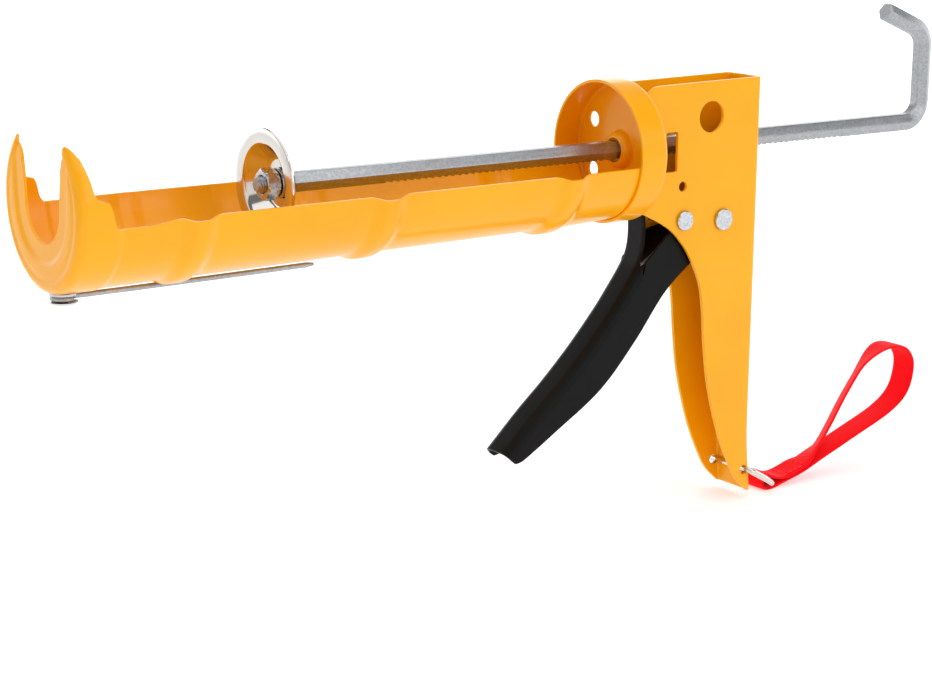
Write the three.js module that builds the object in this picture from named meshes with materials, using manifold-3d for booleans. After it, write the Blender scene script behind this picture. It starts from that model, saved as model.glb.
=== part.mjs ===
// Half-barrel caulking gun with a ratchet rod, modelled as separate sheet-metal, turned and wire parts.
// Millimetres, +Z up. Design origin: on the push rod's axis, in the plane of the rear cup's front rim.
// The nozzle end is at -X, the hook at +X. The finished group is shifted so that the origin is at the
// bottom centre of the whole object's box.
import * as THREE from 'three';
import { mergeVertices } from 'three/addons/utils/BufferGeometryUtils.js';
import Module from 'manifold-3d';

const wasm = await Module();
wasm.setup();

// ---------------------------------------------------------------- driving dimensions
const GAP = 0.3;                 // clearance between pieces that touch
const PLAY = 0.8;                // side play of the trigger between the frame plates

const CUP_RADIUS = 27.5;         // outside of the rear cup
const CUP_DEPTH = 13;
const CUP_WALL = 1.2;
const CUP_CORNER = 2.4;          // pressed corner between the cup's wall and its back
const COLLAR_REACH = 5.5;        // drawn collar that guides the rod, ahead of the cup's back
const COLLAR_RADIUS = 6.2;
const CUP_HOLE_RADIUS = 3;
const CUP_HOLE_Y = 17.4;
const CUP_HOLE_Z = 9.8;

const BARREL_LENGTH = 228.8;     // cup rim to the front face of the nose
const BARREL_WALL = 1;
const BARREL_EDGE_DROP = 3.6;    // how far the open edges lie below the rod's axis
const BARREL_SWELL = 0.9;        // extra radius of the barrel at the nose end
const NOSE_LENGTH = 15;          // collar pressed at the nose, before the barrel proper
const NOSE_FLARE = 2.3;          // the nose collar stands this far out from the barrel's rear radius
const NOSE_EDGE_RADIUS = 3.4;    // rolled edge between the nose face and its collar
const HORN_HEIGHT = 22.5;        // tips of the nose horns above the rod's axis
const SLOT_RADIUS = 13;          // half width of the nozzle slot
const SLOT_CENTRE_Z = 0.6;
const SLOT_SPLAY = 1.6;          // the slot widens this much each side towards its mouth
const NOSE_SHEET = 1.2;
const BEAD_SHARES = [0.817, 0.511, 0.163];   // places of the stiffening beads along the barrel
const BEAD_HALF = 7;
const BEAD_RISE = 1.3;

const FRAME_WIDTH = 20;
const FRAME_SHEET = 1.5;
const FRAME_REAR = 74.8;         // outer face of the rear web
const FRAME_TOP = 25.4;
const HANDLE_DROP = 145.3;       // bottom of the handle below the rod's axis
const SIGHT_HOLE_RADIUS = 6.15;  // round opening through both plates, for cutting spouts
const SIGHT_HOLE = [48.7, 11.1];
const PLATE_SLOT = [26, 31.8, -9.1, 6.4];
const SMALL_HOLE = [35, -15.2];
const SMALL_HOLE_RADIUS = 1.95;

const RIVET_RADIUS = 3;
const PIVOT = [56, -30];         // trigger pivot, x and z
const STOP = [36, -28.6];        // front rivet that the trigger rests under
const PIVOT_HEAD_RADIUS = 4.3;
const STOP_HEAD_RADIUS = 3.9;
const HEAD_THICK = 1.3;
const SLEEVE_WALL = 1.5;
const RETURN_SPRING_WIRE = 0.6;  // wire radius
const RETURN_SPRING_TURNS = 5.17;

const TRIGGER_SHEET = 1.2;
const PAWL_PIN = [PIVOT[0] + 3, PIVOT[1] + 13];
const PAWL_PIN_RADIUS = 2;
const PAWL_THICK = 5;
const PAWL_SPRING_WIRE = 0.4;    // wire radius
const PAWL_SPRING_TURNS = 3.25;
const PAWL_CLEARANCE = 0.9;      // pawl tip to the underside of the rod, released

const ROD_FLATS = 7;             // across flats of the hexagonal rod
const ROD_SHOULDER = 136.1;      // where the rod is turned down, ahead of the cup rim
const HOOK_REACH = 173.6;        // centre line of the hook's upright, behind the cup rim
const HOOK_BEND = 9;
const HOOK_RISE = 35;
const HOOK_TIP = [151, 47];
const TOOTH_PITCH = 3;
const TOOTH_DEPTH = 0.8;
const TEETH_FROM = -98;
const TEETH_TO = 128;
const STUD_RADIUS = 2.9;
const STUD_SHOWS = 2.2;          // stud end ahead of the nut

const PISTON_RADIUS = 19.7;
const PISTON_RING = 5.4;         // width of the flat outer ring
const PISTON_DISH = 9.2;         // hub behind the ring's front face
const PISTON_HUB = 8.6;
const PISTON_SHEET = 1.2;
const NUT_FLATS = 10;
const NUT_THICK = 5.2;
const LOCK_WASHER = [5.4, 1.6];  // outer radius, thickness

const PIN_STATION = BARREL_LENGTH - 5.8;   // nose rivet, ahead of the cup rim
const PIN_RADIUS = 1.2;
const PIN_LENGTH = 96;
const PIN_EYE_RADIUS = 4.4;
const NOSE_RIVET_RADIUS = 2.4;
const NOSE_HEAD_RADIUS = 5;

const RING_PIVOT = [FRAME_REAR - 0.8, 9.3 - HANDLE_DROP];   // straight bar, through both plates
const RING_WIRE = 1.3;
const RING_HALF = FRAME_WIDTH / 2 + 2.6;
const RING_REACH = 19;
const RING_SLOPE = THREE.MathUtils.degToRad(-30);
const STRAP_WIDTH = 2 * (RING_HALF - 6.6);    // fills the straight end of the ring
const STRAP_THICK = 1.5;

// ---------------------------------------------------------------- finishes
const yellowPaint = new THREE.MeshStandardMaterial({ color: 0xfbae24, roughness: 0.3, metalness: 0.1 });
const blackPaint = new THREE.MeshStandardMaterial({ color: 0x232323, roughness: 0.42, metalness: 0.1 });
const zincPlate = new THREE.MeshStandardMaterial({ color: 0xc9ccd2, roughness: 0.3, metalness: 1 });
const nickelPlate = new THREE.MeshStandardMaterial({ color: 0xd8d6d2, roughness: 0.12, metalness: 1 });
const springSteel = new THREE.MeshStandardMaterial({ color: 0x8d9096, roughness: 0.35, metalness: 1 });
const redWebbing = new THREE.MeshStandardMaterial({ color: 0xf31524, roughness: 0.85, metalness: 0 });

// ---------------------------------------------------------------- geometry helpers
// Axis maps: a flat outline drawn in (x, y) and extruded along z is laid into the gun's planes.
const ALONG_X = new THREE.Matrix4().set(0, 0, 1, 0, 1, 0, 0, 0, 0, 1, 0, 0, 0, 0, 0, 1);
const LATHE_X = new THREE.Matrix4().set(0, 1, 0, 0, 0, 0, 1, 0, 1, 0, 0, 0, 0, 0, 0, 1);
const LATHE_Y = new THREE.Matrix4();   // a lathe turns about Y as it is
const LATHE_Z = new THREE.Matrix4().set(0, 0, 1, 0, 1, 0, 0, 0, 0, 1, 0, 0, 0, 0, 0, 1);

// A closed geometry becomes a solid; its faces are turned round first if they point inwards.
function solid(geometry) {
  geometry.deleteAttribute('normal');
  geometry.deleteAttribute('uv');
  const merged = mergeVertices(geometry, 1e-4);
  const points = merged.attributes.position.array;
  const faces = Array.from(merged.index.array);
  const kept = [];
  let volume = 0;
  const a = new THREE.Vector3(), b = new THREE.Vector3(), c = new THREE.Vector3();
  for (let i = 0; i < faces.length; i += 3) {
    const [p, q, r] = faces.slice(i, i + 3);
    if (p === q || q === r || r === p) continue;
    kept.push(p, q, r);
    a.fromArray(points, 3 * p);
    b.fromArray(points, 3 * q);
    c.fromArray(points, 3 * r);
    volume += a.dot(b.cross(c));
  }
  if (volume < 0) kept.reverse();
  const mesh = new wasm.Mesh({
    numProp: 3, vertProperties: new Float32Array(points), triVerts: new Uint32Array(kept),
  });
  return new wasm.Manifold(mesh);
}

function geometryOf(manifold) {
  const mesh = manifold.getMesh();
  const geometry = new THREE.BufferGeometry();
  geometry.setAttribute('position', new THREE.BufferAttribute(new Float32Array(mesh.vertProperties), 3));
  geometry.setIndex(new THREE.BufferAttribute(new Uint32Array(mesh.triVerts), 1));
  geometry.computeVertexNormals();
  return geometry;
}

const gun = new THREE.Group();

function addPart(name, manifold, material) {
  const mesh = new THREE.Mesh(geometryOf(manifold), material);
  mesh.name = name;
  gun.add(mesh);
}

function outline(points) {
  return new THREE.Shape(points.map(([x, y]) => new THREE.Vector2(x, y)));
}

// A smooth outline through the points, as a closed curve.
function smoothOutline(points, steps) {
  const curve = new THREE.SplineCurve(points.map(([x, y]) => new THREE.Vector2(x, y)));
  return curve.getPoints(steps).map((p) => [p.x, p.y]);
}

// A side-view outline (x, z) becomes a plate centred on the gun's middle plane.
function sidePlate(shape, thickness, y = 0, curveSegments = 10) {
  const geometry = new THREE.ExtrudeGeometry(shape, { depth: thickness, bevelEnabled: false, curveSegments });
  geometry.rotateX(Math.PI / 2);
  geometry.translate(0, y + thickness / 2, 0);
  return solid(geometry);
}

// A front-view outline (y, z) becomes a plate from x to x + thickness.
function crossPlate(shape, thickness, x, curveSegments = 10) {
  const geometry = new THREE.ExtrudeGeometry(shape, { depth: thickness, bevelEnabled: false, curveSegments });
  geometry.applyMatrix4(ALONG_X);
  geometry.translate(x, 0, 0);
  return solid(geometry);
}

// A profile of [radius, place along the axis] is turned about that axis.
function turned(profile, axis, segments = 40) {
  const points = profile.map(([r, h]) => new THREE.Vector2(r, h));
  const geometry = new THREE.LatheGeometry([...points, points[0].clone()], segments);
  geometry.applyMatrix4(axis);
  return solid(geometry);
}

function pinAlongY(radius, length, x, z, segments = 28) {
  const geometry = new THREE.CylinderGeometry(radius, radius, length, segments);
  geometry.translate(x, 0, z);
  return solid(geometry);
}

function pinAlongX(radius, from, to, segments = 28) {
  const geometry = new THREE.CylinderGeometry(radius, radius, to - from, segments);
  geometry.applyMatrix4(LATHE_X);
  geometry.translate((from + to) / 2, 0, 0);
  return solid(geometry);
}

function pinAlongZ(radius, from, to, x, segments = 28) {
  const geometry = new THREE.CylinderGeometry(radius, radius, to - from, segments);
  geometry.rotateX(Math.PI / 2);
  geometry.translate(x, 0, (from + to) / 2);
  return solid(geometry);
}

function box(xFrom, xTo, yFrom, yTo, zFrom, zTo) {
  const geometry = new THREE.BoxGeometry(xTo - xFrom, yTo - yFrom, zTo - zFrom);
  geometry.translate((xFrom + xTo) / 2, (yFrom + yTo) / 2, (zFrom + zTo) / 2);
  return solid(geometry);
}

function round(radius, sides = 10, turn = 0) {
  const points = [];
  for (let i = 0; i < sides; i += 1) {
    const angle = turn + (2 * Math.PI * i) / sides;
    points.push([radius * Math.cos(angle), radius * Math.sin(angle)]);
  }
  return outline(points);
}

// A bar of any section swept along a path of points.
function swept(section, points, steps, tension = 0.5) {
  const path = new THREE.CatmullRomCurve3(points.map((p) => new THREE.Vector3(...p)), false, 'catmullrom', tension);
  return solid(new THREE.ExtrudeGeometry(section, { steps, bevelEnabled: false, extrudePath: path }));
}

function arc(centreX, centreY, radius, from, to, steps) {
  const points = [];
  for (let i = 0; i <= steps; i += 1) {
    const angle = THREE.MathUtils.degToRad(from + ((to - from) * i) / steps);
    points.push([centreX + radius * Math.cos(angle), centreY + radius * Math.sin(angle)]);
  }
  return points;
}

// ---------------------------------------------------------------- barrel
const barrelRadius = CUP_RADIUS - CUP_WALL - GAP;
const noseRadius = barrelRadius + NOSE_FLARE;
const beadStations = BEAD_SHARES.map((share) => share * BARREL_LENGTH);
const barrelRear = CUP_DEPTH - CUP_WALL - CUP_CORNER;

// Outer radius at a distance ahead of the cup's rim: a slow swell, three beads and the nose collar.
function barrelProfile(ahead) {
  const swell = BARREL_SWELL * THREE.MathUtils.clamp(ahead / (BARREL_LENGTH - NOSE_LENGTH), 0, 1);
  let radius = barrelRadius + swell;
  for (const station of beadStations) {
    const t = Math.abs(ahead - station) / BEAD_HALF;
    if (t < 1) radius += BEAD_RISE * 0.5 * (1 + Math.cos(Math.PI * t));
  }
  const step = THREE.MathUtils.smoothstep(ahead, BARREL_LENGTH - NOSE_LENGTH - 3, BARREL_LENGTH - NOSE_LENGTH);
  radius += (noseRadius - radius) * step;
  const toFace = BARREL_LENGTH - ahead;
  if (toFace < NOSE_EDGE_RADIUS) {
    const t = 1 - toFace / NOSE_EDGE_RADIUS;
    radius -= NOSE_EDGE_RADIUS * (1 - Math.sqrt(Math.max(0, 1 - t * t)));
  }
  return radius;
}

// Angle of the open edge from straight down: just under level, and up round the horns at the nose.
function barrelEdgeAngle(ahead) {
  const radius = barrelRadius;
  const level = Math.acos(BARREL_EDGE_DROP / radius);
  const horn = Math.PI - Math.acos(HORN_HEIGHT / noseRadius);
  const t = THREE.MathUtils.clamp((ahead - (BARREL_LENGTH - NOSE_LENGTH)) / (NOSE_LENGTH - 1), 0, 1);
  return level + (horn - level) * t;
}

function barrelStations() {
  const stations = [-barrelRear];
  for (const station of [...beadStations].reverse()) {
    for (let i = -3; i <= 3; i += 1) stations.push(station + (BEAD_HALF * i) / 3);
  }
  for (let i = 0; i <= 3; i += 1) stations.push(BARREL_LENGTH - NOSE_LENGTH - 3 + i);
  for (let i = 1; i <= 3; i += 1) stations.push(BARREL_LENGTH - NOSE_LENGTH + 2.6 * i);
  for (let i = 0; i <= 4; i += 1) {
    stations.push(BARREL_LENGTH - NOSE_EDGE_RADIUS * (1 - Math.sin((Math.PI / 2) * (i / 4))));
  }
  return stations;
}

// Grid of outer points and inner points over station and angle, closed along all four edges.
function barrelShell() {
  const stations = barrelStations();
  const around = 22;
  const row = 2 * (around + 1);
  const positions = [];
  for (const ahead of stations) {
    const edge = barrelEdgeAngle(ahead);
    const outer = barrelProfile(ahead);
    for (const radius of [outer, outer - BARREL_WALL]) {
      for (let j = 0; j <= around; j += 1) {
        const angle = -edge + (2 * edge * j) / around;
        positions.push(-ahead, radius * Math.sin(angle), -radius * Math.cos(angle));
      }
    }
  }
  const faces = [];
  const quad = (a, b, c, d) => faces.push(a, b, c, a, c, d);
  for (let i = 0; i + 1 < stations.length; i += 1) {
    const here = i * row, next = (i + 1) * row;
    for (let j = 0; j < around; j += 1) {
      quad(here + j, here + j + 1, next + j + 1, next + j);
      const inner = around + 1;
      quad(here + inner + j, next + inner + j, next + inner + j + 1, here + inner + j + 1);
    }
    quad(here, next, next + around + 1, here + around + 1);
    const last = around, lastInner = 2 * around + 1;
    quad(here + last, here + lastInner, next + lastInner, next + last);
  }
  for (const [start, flip] of [[0, false], [(stations.length - 1) * row, true]]) {
    for (let j = 0; j < around; j += 1) {
      const q = [start + j, start + around + 1 + j, start + around + 2 + j, start + j + 1];
      if (flip) q.reverse();
      quad(...q);
    }
  }
  const geometry = new THREE.BufferGeometry();
  geometry.setAttribute('position', new THREE.Float32BufferAttribute(positions, 3));
  geometry.setIndex(faces);
  return solid(geometry);
}

// Nose face: a disc with two horns, cut by the slot that the nozzle drops into.
function noseFace() {
  const rim = noseRadius - NOSE_EDGE_RADIUS + 0.4;
  const hornAngle = THREE.MathUtils.radToDeg(Math.asin(HORN_HEIGHT / noseRadius));
  const outside = arc(0, 0, rim, 180 - hornAngle, 360 + hornAngle, 40);
  const slotTop = rim * Math.sin(THREE.MathUtils.degToRad(hornAngle)) * 0.86;
  const slot = arc(0, SLOT_CENTRE_Z, SLOT_RADIUS, 0, -180, 24);
  const mouth = SLOT_RADIUS + SLOT_SPLAY;
  const shape = outline([...outside, [mouth, slotTop], ...slot, [-mouth, slotTop]]);
  return crossPlate(shape, NOSE_SHEET, -BARREL_LENGTH);
}

function buildBarrel() {
  const rivetHole = pinAlongZ(NOSE_RIVET_RADIUS + GAP, -40, -10, -PIN_STATION);
  addPart('half_barrel', barrelShell().add(noseFace()).subtract(rivetHole), yellowPaint);
}

// ---------------------------------------------------------------- rear cup
const rodHoleRadius = ROD_FLATS / Math.sqrt(3) + 0.5;

function buildRearCup() {
  const corner = (radius, inset) => arc(CUP_DEPTH - inset, CUP_RADIUS - inset, radius, 0, 90, 5)
    .map(([x, r]) => [r, x]);
  const outerCorner = corner(CUP_CORNER, CUP_CORNER);
  const innerCorner = corner(CUP_CORNER - CUP_WALL, CUP_CORNER).reverse();
  const front = CUP_DEPTH - CUP_WALL - COLLAR_REACH;
  const profile = [
    [rodHoleRadius, front], [rodHoleRadius, front + CUP_WALL], [COLLAR_RADIUS - CUP_WALL, front + CUP_WALL],
    [COLLAR_RADIUS + 0.6, CUP_DEPTH], ...outerCorner, [CUP_RADIUS, 0], [CUP_RADIUS - CUP_WALL, 0],
    ...innerCorner, [COLLAR_RADIUS + 1.8, CUP_DEPTH - CUP_WALL], [COLLAR_RADIUS, front],
  ];
  let cup = turned(profile, LATHE_X, 44);
  for (const y of [-CUP_HOLE_Y, CUP_HOLE_Y]) {
    for (const z of [-CUP_HOLE_Z, CUP_HOLE_Z]) {
      const hole = pinAlongX(CUP_HOLE_RADIUS, CUP_DEPTH - 3, CUP_DEPTH + 2, 20).translate([0, y, z]);
      cup = cup.subtract(hole);
    }
  }
  addPart('rear_cup', cup, yellowPaint);
}

// ---------------------------------------------------------------- handle frame
const frameFront = CUP_DEPTH + GAP;
const frameInner = FRAME_WIDTH - 2 * FRAME_SHEET;

// Front edge below the cup: x, and the share of the handle's drop at which it lies.
const HANDLE_FRONT = [
  [27.8, 0.212], [35.8, 0.263], [41.2, 0.318], [45.5, 0.383], [47.4, 0.454], [48.8, 0.551], [51.6, 0.67],
  [57.8, 0.812], [65.2, 0.922], [69, 0.962],
];

function handleFrontEdge() {
  const below = HANDLE_FRONT.map(([x, share]) => [x, -share * HANDLE_DROP]);
  return smoothOutline([[frameFront, 4.1 - CUP_RADIUS], ...below], 36);
}

function handleRearEdge() {
  return [[FRAME_REAR + 3.4, -HANDLE_DROP], [FRAME_REAR + 1.6, -0.895 * HANDLE_DROP],
    [FRAME_REAR, -0.812 * HANDLE_DROP], [FRAME_REAR, FRAME_TOP]];
}

function buildHandleFrame() {
  const topFront = arc(frameFront + 9, FRAME_TOP - 9.8, 9, 90, 170, 6);
  const side = outline([
    ...handleFrontEdge(), ...handleRearEdge(), ...topFront, [frameFront, 10],
  ]);
  const rear = handleRearEdge();
  const hollow = outline([
    [rear[0][0] - FRAME_SHEET, -HANDLE_DROP - 5], ...rear.slice(1, 3).map(([x, z]) => [x - FRAME_SHEET, z]),
    [FRAME_REAR - FRAME_SHEET, FRAME_TOP + 5], [frameFront - 5, FRAME_TOP + 5],
    [frameFront - 5, -HANDLE_DROP - 5],
  ]);
  let frame = sidePlate(side, FRAME_WIDTH).subtract(sidePlate(hollow, frameInner));
  const through = FRAME_WIDTH + 4;
  const [slotFrom, slotTo, slotLow, slotHigh] = PLATE_SLOT;
  const cuts = [
    pinAlongY(SIGHT_HOLE_RADIUS, through, ...SIGHT_HOLE),
    pinAlongY(SMALL_HOLE_RADIUS, through, ...SMALL_HOLE, 16),
    pinAlongY(RIVET_RADIUS + GAP, through, ...PIVOT),
    pinAlongY(RIVET_RADIUS + GAP, through, ...STOP),
    pinAlongY(RING_WIRE + 0.5, through, ...RING_PIVOT, 16),
    box(slotFrom, slotTo, -through / 2, through / 2, slotLow, slotHigh),
    pinAlongX(rodHoleRadius, FRAME_REAR - 4, FRAME_REAR + 2),
  ];
  for (const cut of cuts) frame = frame.subtract(cut);
  addPart('handle_frame', frame, yellowPaint);
}

// ---------------------------------------------------------------- frame rivets and pivot sleeve
function plateRivet(name, headRadius, [x, z]) {
  const half = FRAME_WIDTH / 2 + GAP;
  const end = half + HEAD_THICK;
  const profile = [
    [0, -end], [headRadius - 0.4, -end], [headRadius, -end + 0.5], [headRadius, -half], [RIVET_RADIUS, -half],
    [RIVET_RADIUS, half], [headRadius, half], [headRadius, end - 0.5], [headRadius - 0.4, end], [0, end],
  ];
  addPart(name, turned(profile, LATHE_Y, 28).translate([x, 0, z]), zincPlate);
}

const sleeveRadius = RIVET_RADIUS + GAP + SLEEVE_WALL;

function buildFrameFasteners() {
  plateRivet('pivot_rivet', PIVOT_HEAD_RADIUS, PIVOT);
  plateRivet('stop_rivet', STOP_HEAD_RADIUS, STOP);
  const length = frameInner - 2 * GAP;
  const sleeve = pinAlongY(sleeveRadius, length, ...PIVOT)
    .subtract(pinAlongY(RIVET_RADIUS + GAP, length + 2, ...PIVOT));
  addPart('pivot_sleeve', sleeve, zincPlate);
}

// ---------------------------------------------------------------- trigger
const triggerWidth = frameInner - 2 * PLAY;
const triggerInner = triggerWidth - 2 * TRIGGER_SHEET;

// Front line of the trigger, from its tip up to the bend below the tongue.
const TRIGGER_FRONT = [
  [-46, -110.6], [-33, -98.4], [-20.6, -88], [-8, -75.6], [3.5, -63.2], [10.2, -54.6], [14.2, -49.2],
];
const TRIGGER_REAR = [
  [-40, -115.4], [-34.5, -111.4], [-24.4, -105], [-10, -97], [3, -87.4], [14.8, -74.6], [22.8, -63.6],
  [30, -56.2], [42.3, -46.4],
];
const TRIGGER_TONGUE = [[17.4, -45], [19.2, -39.6], [19.8, -33], [19.5, -24]];

function triggerSide() {
  const pivotBack = arc(PIVOT[0], PIVOT[1], sleeveRadius + 3.6, -105, 0, 8);
  const pinLobe = arc(PAWL_PIN[0], PAWL_PIN[1], PAWL_PIN_RADIUS + 3.4, 0, 180, 8);
  const underStop = [[50.6, -24], [44.6, -28.6], [40.6, -32.2], [36, -33.2], [31, -34.4]];
  return outline([
    ...smoothOutline(TRIGGER_REAR, 26), ...pivotBack, ...pinLobe, ...underStop,
    ...smoothOutline(TRIGGER_FRONT, 22).reverse(),
  ]);
}

// The folded web: the front line given its thickness, with the tongue that stands up behind the cup.
function triggerWeb() {
  const line = [...smoothOutline(TRIGGER_FRONT, 22), ...smoothOutline(TRIGGER_TONGUE, 10)];
  const inner = line.map(([x, z], i) => {
    const [ax, az] = line[Math.max(0, i - 1)];
    const [bx, bz] = line[Math.min(line.length - 1, i + 1)];
    const length = Math.hypot(bx - ax, bz - az);
    return [x + (TRIGGER_SHEET * (bz - az)) / length, z - (TRIGGER_SHEET * (bx - ax)) / length];
  });
  return outline([...line, ...inner.reverse()]);
}

function buildTrigger() {
  const side = triggerSide();
  const sideOffset = (triggerInner + TRIGGER_SHEET) / 2;
  let trigger = sidePlate(triggerWeb(), triggerWidth);
  for (const y of [-sideOffset, sideOffset]) trigger = trigger.add(sidePlate(side, TRIGGER_SHEET, y));
  trigger = trigger
    .subtract(pinAlongY(sleeveRadius + GAP, triggerWidth + 4, ...PIVOT))
    .subtract(pinAlongY(PAWL_PIN_RADIUS + GAP, triggerWidth + 4, ...PAWL_PIN));
  addPart('trigger', trigger, blackPaint);
  addPart('pawl_pin', pinAlongY(PAWL_PIN_RADIUS, triggerWidth, ...PAWL_PIN), zincPlate);
}

// ---------------------------------------------------------------- pawl and springs
const coilPitch = (wire) => 2 * wire + 0.25;
const coilWidth = (wire, turns) => coilPitch(wire) * turns + 2 * wire;

// A torsion spring round an axis along Y: a leg in, the turns, and a leg out along the last tangent.
function torsionSpring({ wire, centre, radius, turns, y, legIn, legOut, start }) {
  const stepsPerTurn = 10;
  const pitch = coilPitch(wire);
  const steps = Math.round(stepsPerTurn * turns);
  const firstY = y - (pitch * turns) / 2;
  const points = legIn.map(([px, pz]) => [centre[0] + px, firstY, centre[1] + pz]);
  for (let i = 0; i <= steps; i += 1) {
    const angle = start + (2 * Math.PI * i) / stepsPerTurn;
    const along = firstY + (pitch * i) / stepsPerTurn;
    points.push([centre[0] + radius * Math.cos(angle), along, centre[1] + radius * Math.sin(angle)]);
  }
  points.push(...legOut.map(([px, pz]) => [centre[0] + px, firstY + pitch * turns, centre[1] + pz]));
  return swept(round(wire, 6), points, points.length);
}

// The pawl and its spring share the pin as one stack, centred between the trigger's sides.
function buildPawl() {
  const [px, pz] = PAWL_PIN;
  const springWidth = coilWidth(PAWL_SPRING_WIRE, PAWL_SPRING_TURNS);
  const stack = PAWL_THICK + GAP + springWidth;
  const pawlY = (PAWL_THICK - stack) / 2;
  const tip = -ROD_FLATS / 2 - PAWL_CLEARANCE;
  const body = outline([
    ...arc(px, pz, PAWL_PIN_RADIUS + 2.4, -120, 20, 8), [px + 1.5, pz + 6.5], [px - 3.6, tip - 1.8],
    [px - 8.8, tip], [px - 10, tip - 0.8], [px - 8.6, tip - 5],
  ]);
  const pawl = sidePlate(body, PAWL_THICK, pawlY)
    .subtract(pinAlongY(PAWL_PIN_RADIUS + GAP, 2 * stack, px, pz));
  addPart('drive_pawl', pawl, springSteel);
  const spring = torsionSpring({
    wire: PAWL_SPRING_WIRE, turns: PAWL_SPRING_TURNS, centre: PAWL_PIN,
    radius: PAWL_PIN_RADIUS + GAP + 2 * PAWL_SPRING_WIRE, y: (stack - springWidth) / 2, start: 2.4,
    legIn: [[-3.4, 5.6], [-3.6, 4]], legOut: [[0.6, -5], [2.4, -6.2]],
  });
  addPart('pawl_spring', spring, springSteel);
}

function buildReturnSpring() {
  const spring = torsionSpring({
    wire: RETURN_SPRING_WIRE, turns: RETURN_SPRING_TURNS, centre: PIVOT,
    radius: sleeveRadius + GAP + 1, y: 0, start: 1.2,
    legIn: [[15.4, 2], [9, 4.6]], legOut: [[-10, -1.8], [-22, -12.6], [-37.5, -21.5]],
  });
  addPart('return_spring', spring, springSteel);
}

// ---------------------------------------------------------------- rod and piston
const hexCorner = ROD_FLATS / Math.sqrt(3);
const hubFront = -ROD_SHOULDER - GAP - PISTON_SHEET;

function toothCut() {
  const bottom = -ROD_FLATS / 2;
  const points = [[TEETH_FROM, bottom - 1]];
  for (let x = TEETH_FROM; x < TEETH_TO; x += TOOTH_PITCH) {
    points.push([x, bottom], [x + TOOTH_PITCH * 0.3, bottom + TOOTH_DEPTH]);
  }
  points.push([TEETH_TO, bottom], [TEETH_TO, bottom - 1]);
  return sidePlate(outline(points.reverse()), ROD_FLATS * 2);
}

// The hook: a bend up, the upright, and the end laid forward, all of one hexagonal bar.
function rodHook() {
  const start = [HOOK_REACH - HOOK_BEND - 2, 0];
  const bendUp = arc(HOOK_REACH - HOOK_BEND, HOOK_BEND, HOOK_BEND, -90, 0, 7);
  const [tipX, tipZ] = HOOK_TIP;
  const bendForward = arc(HOOK_REACH - HOOK_BEND, HOOK_RISE - 3.4, HOOK_BEND, 0, 62, 5);
  const route = [start, ...bendUp, ...bendForward, [tipX, tipZ]];
  const section = round(hexCorner, 6, Math.PI / 6);
  return swept(section, route.map(([x, z]) => [x, 0, z]), 40, 0.3);
}

function buildRod() {
  const hex = round(hexCorner, 6, 0);
  const shaft = crossPlate(hex, HOOK_REACH - HOOK_BEND + ROD_SHOULDER - 1, -ROD_SHOULDER);
  const stud = pinAlongX(STUD_RADIUS, hubFront - 2 * GAP - LOCK_WASHER[1] - NUT_THICK - STUD_SHOWS,
    -ROD_SHOULDER + 1);
  addPart('push_rod', shaft.subtract(toothCut()).add(rodHook()).add(stud), zincPlate);
}

function buildPiston() {
  const hole = STUD_RADIUS + GAP;
  const ringFront = hubFront - PISTON_DISH;
  const dish = PISTON_RADIUS - PISTON_RING;
  const profile = [
    [hole, hubFront], [PISTON_HUB, hubFront], [dish - 0.8, ringFront + 1], [dish + 0.2, ringFront],
    [PISTON_RADIUS, ringFront], [PISTON_RADIUS, ringFront + PISTON_SHEET],
    [dish + 0.8, ringFront + PISTON_SHEET], [dish + 0.2, ringFront + PISTON_SHEET + 0.8],
    [PISTON_HUB + 0.8, hubFront + PISTON_SHEET], [hole, hubFront + PISTON_SHEET],
  ];
  addPart('piston_disc', turned(profile, LATHE_X, 44), nickelPlate);

  const [washerRadius, washerThick] = LOCK_WASHER;
  const washerRear = hubFront - GAP;
  const ring = crossPlate(round(washerRadius, 28), washerThick, washerRear - washerThick)
    .subtract(pinAlongX(hole, washerRear - washerThick - 1, washerRear + 1, 20))
    .subtract(box(washerRear - 3, washerRear + 1, 0, washerRadius + 1, -0.5, 0.5));
  addPart('lock_washer', ring, zincPlate);

  const nutRear = washerRear - washerThick - GAP;
  const nut = crossPlate(round(NUT_FLATS / Math.sqrt(3), 6, 0.25), NUT_THICK, nutRear - NUT_THICK)
    .subtract(pinAlongX(hole, nutRear - NUT_THICK - 1, nutRear + 1, 20));
  addPart('rod_nut', nut, zincPlate);
}

// ---------------------------------------------------------------- seal pin under the nose
const noseBottom = -noseRadius;
const washerTop = noseBottom - GAP;
const eyeTop = washerTop - 0.9 - GAP;
const eyeBottom = eyeTop - 2 * PIN_RADIUS;

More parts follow.
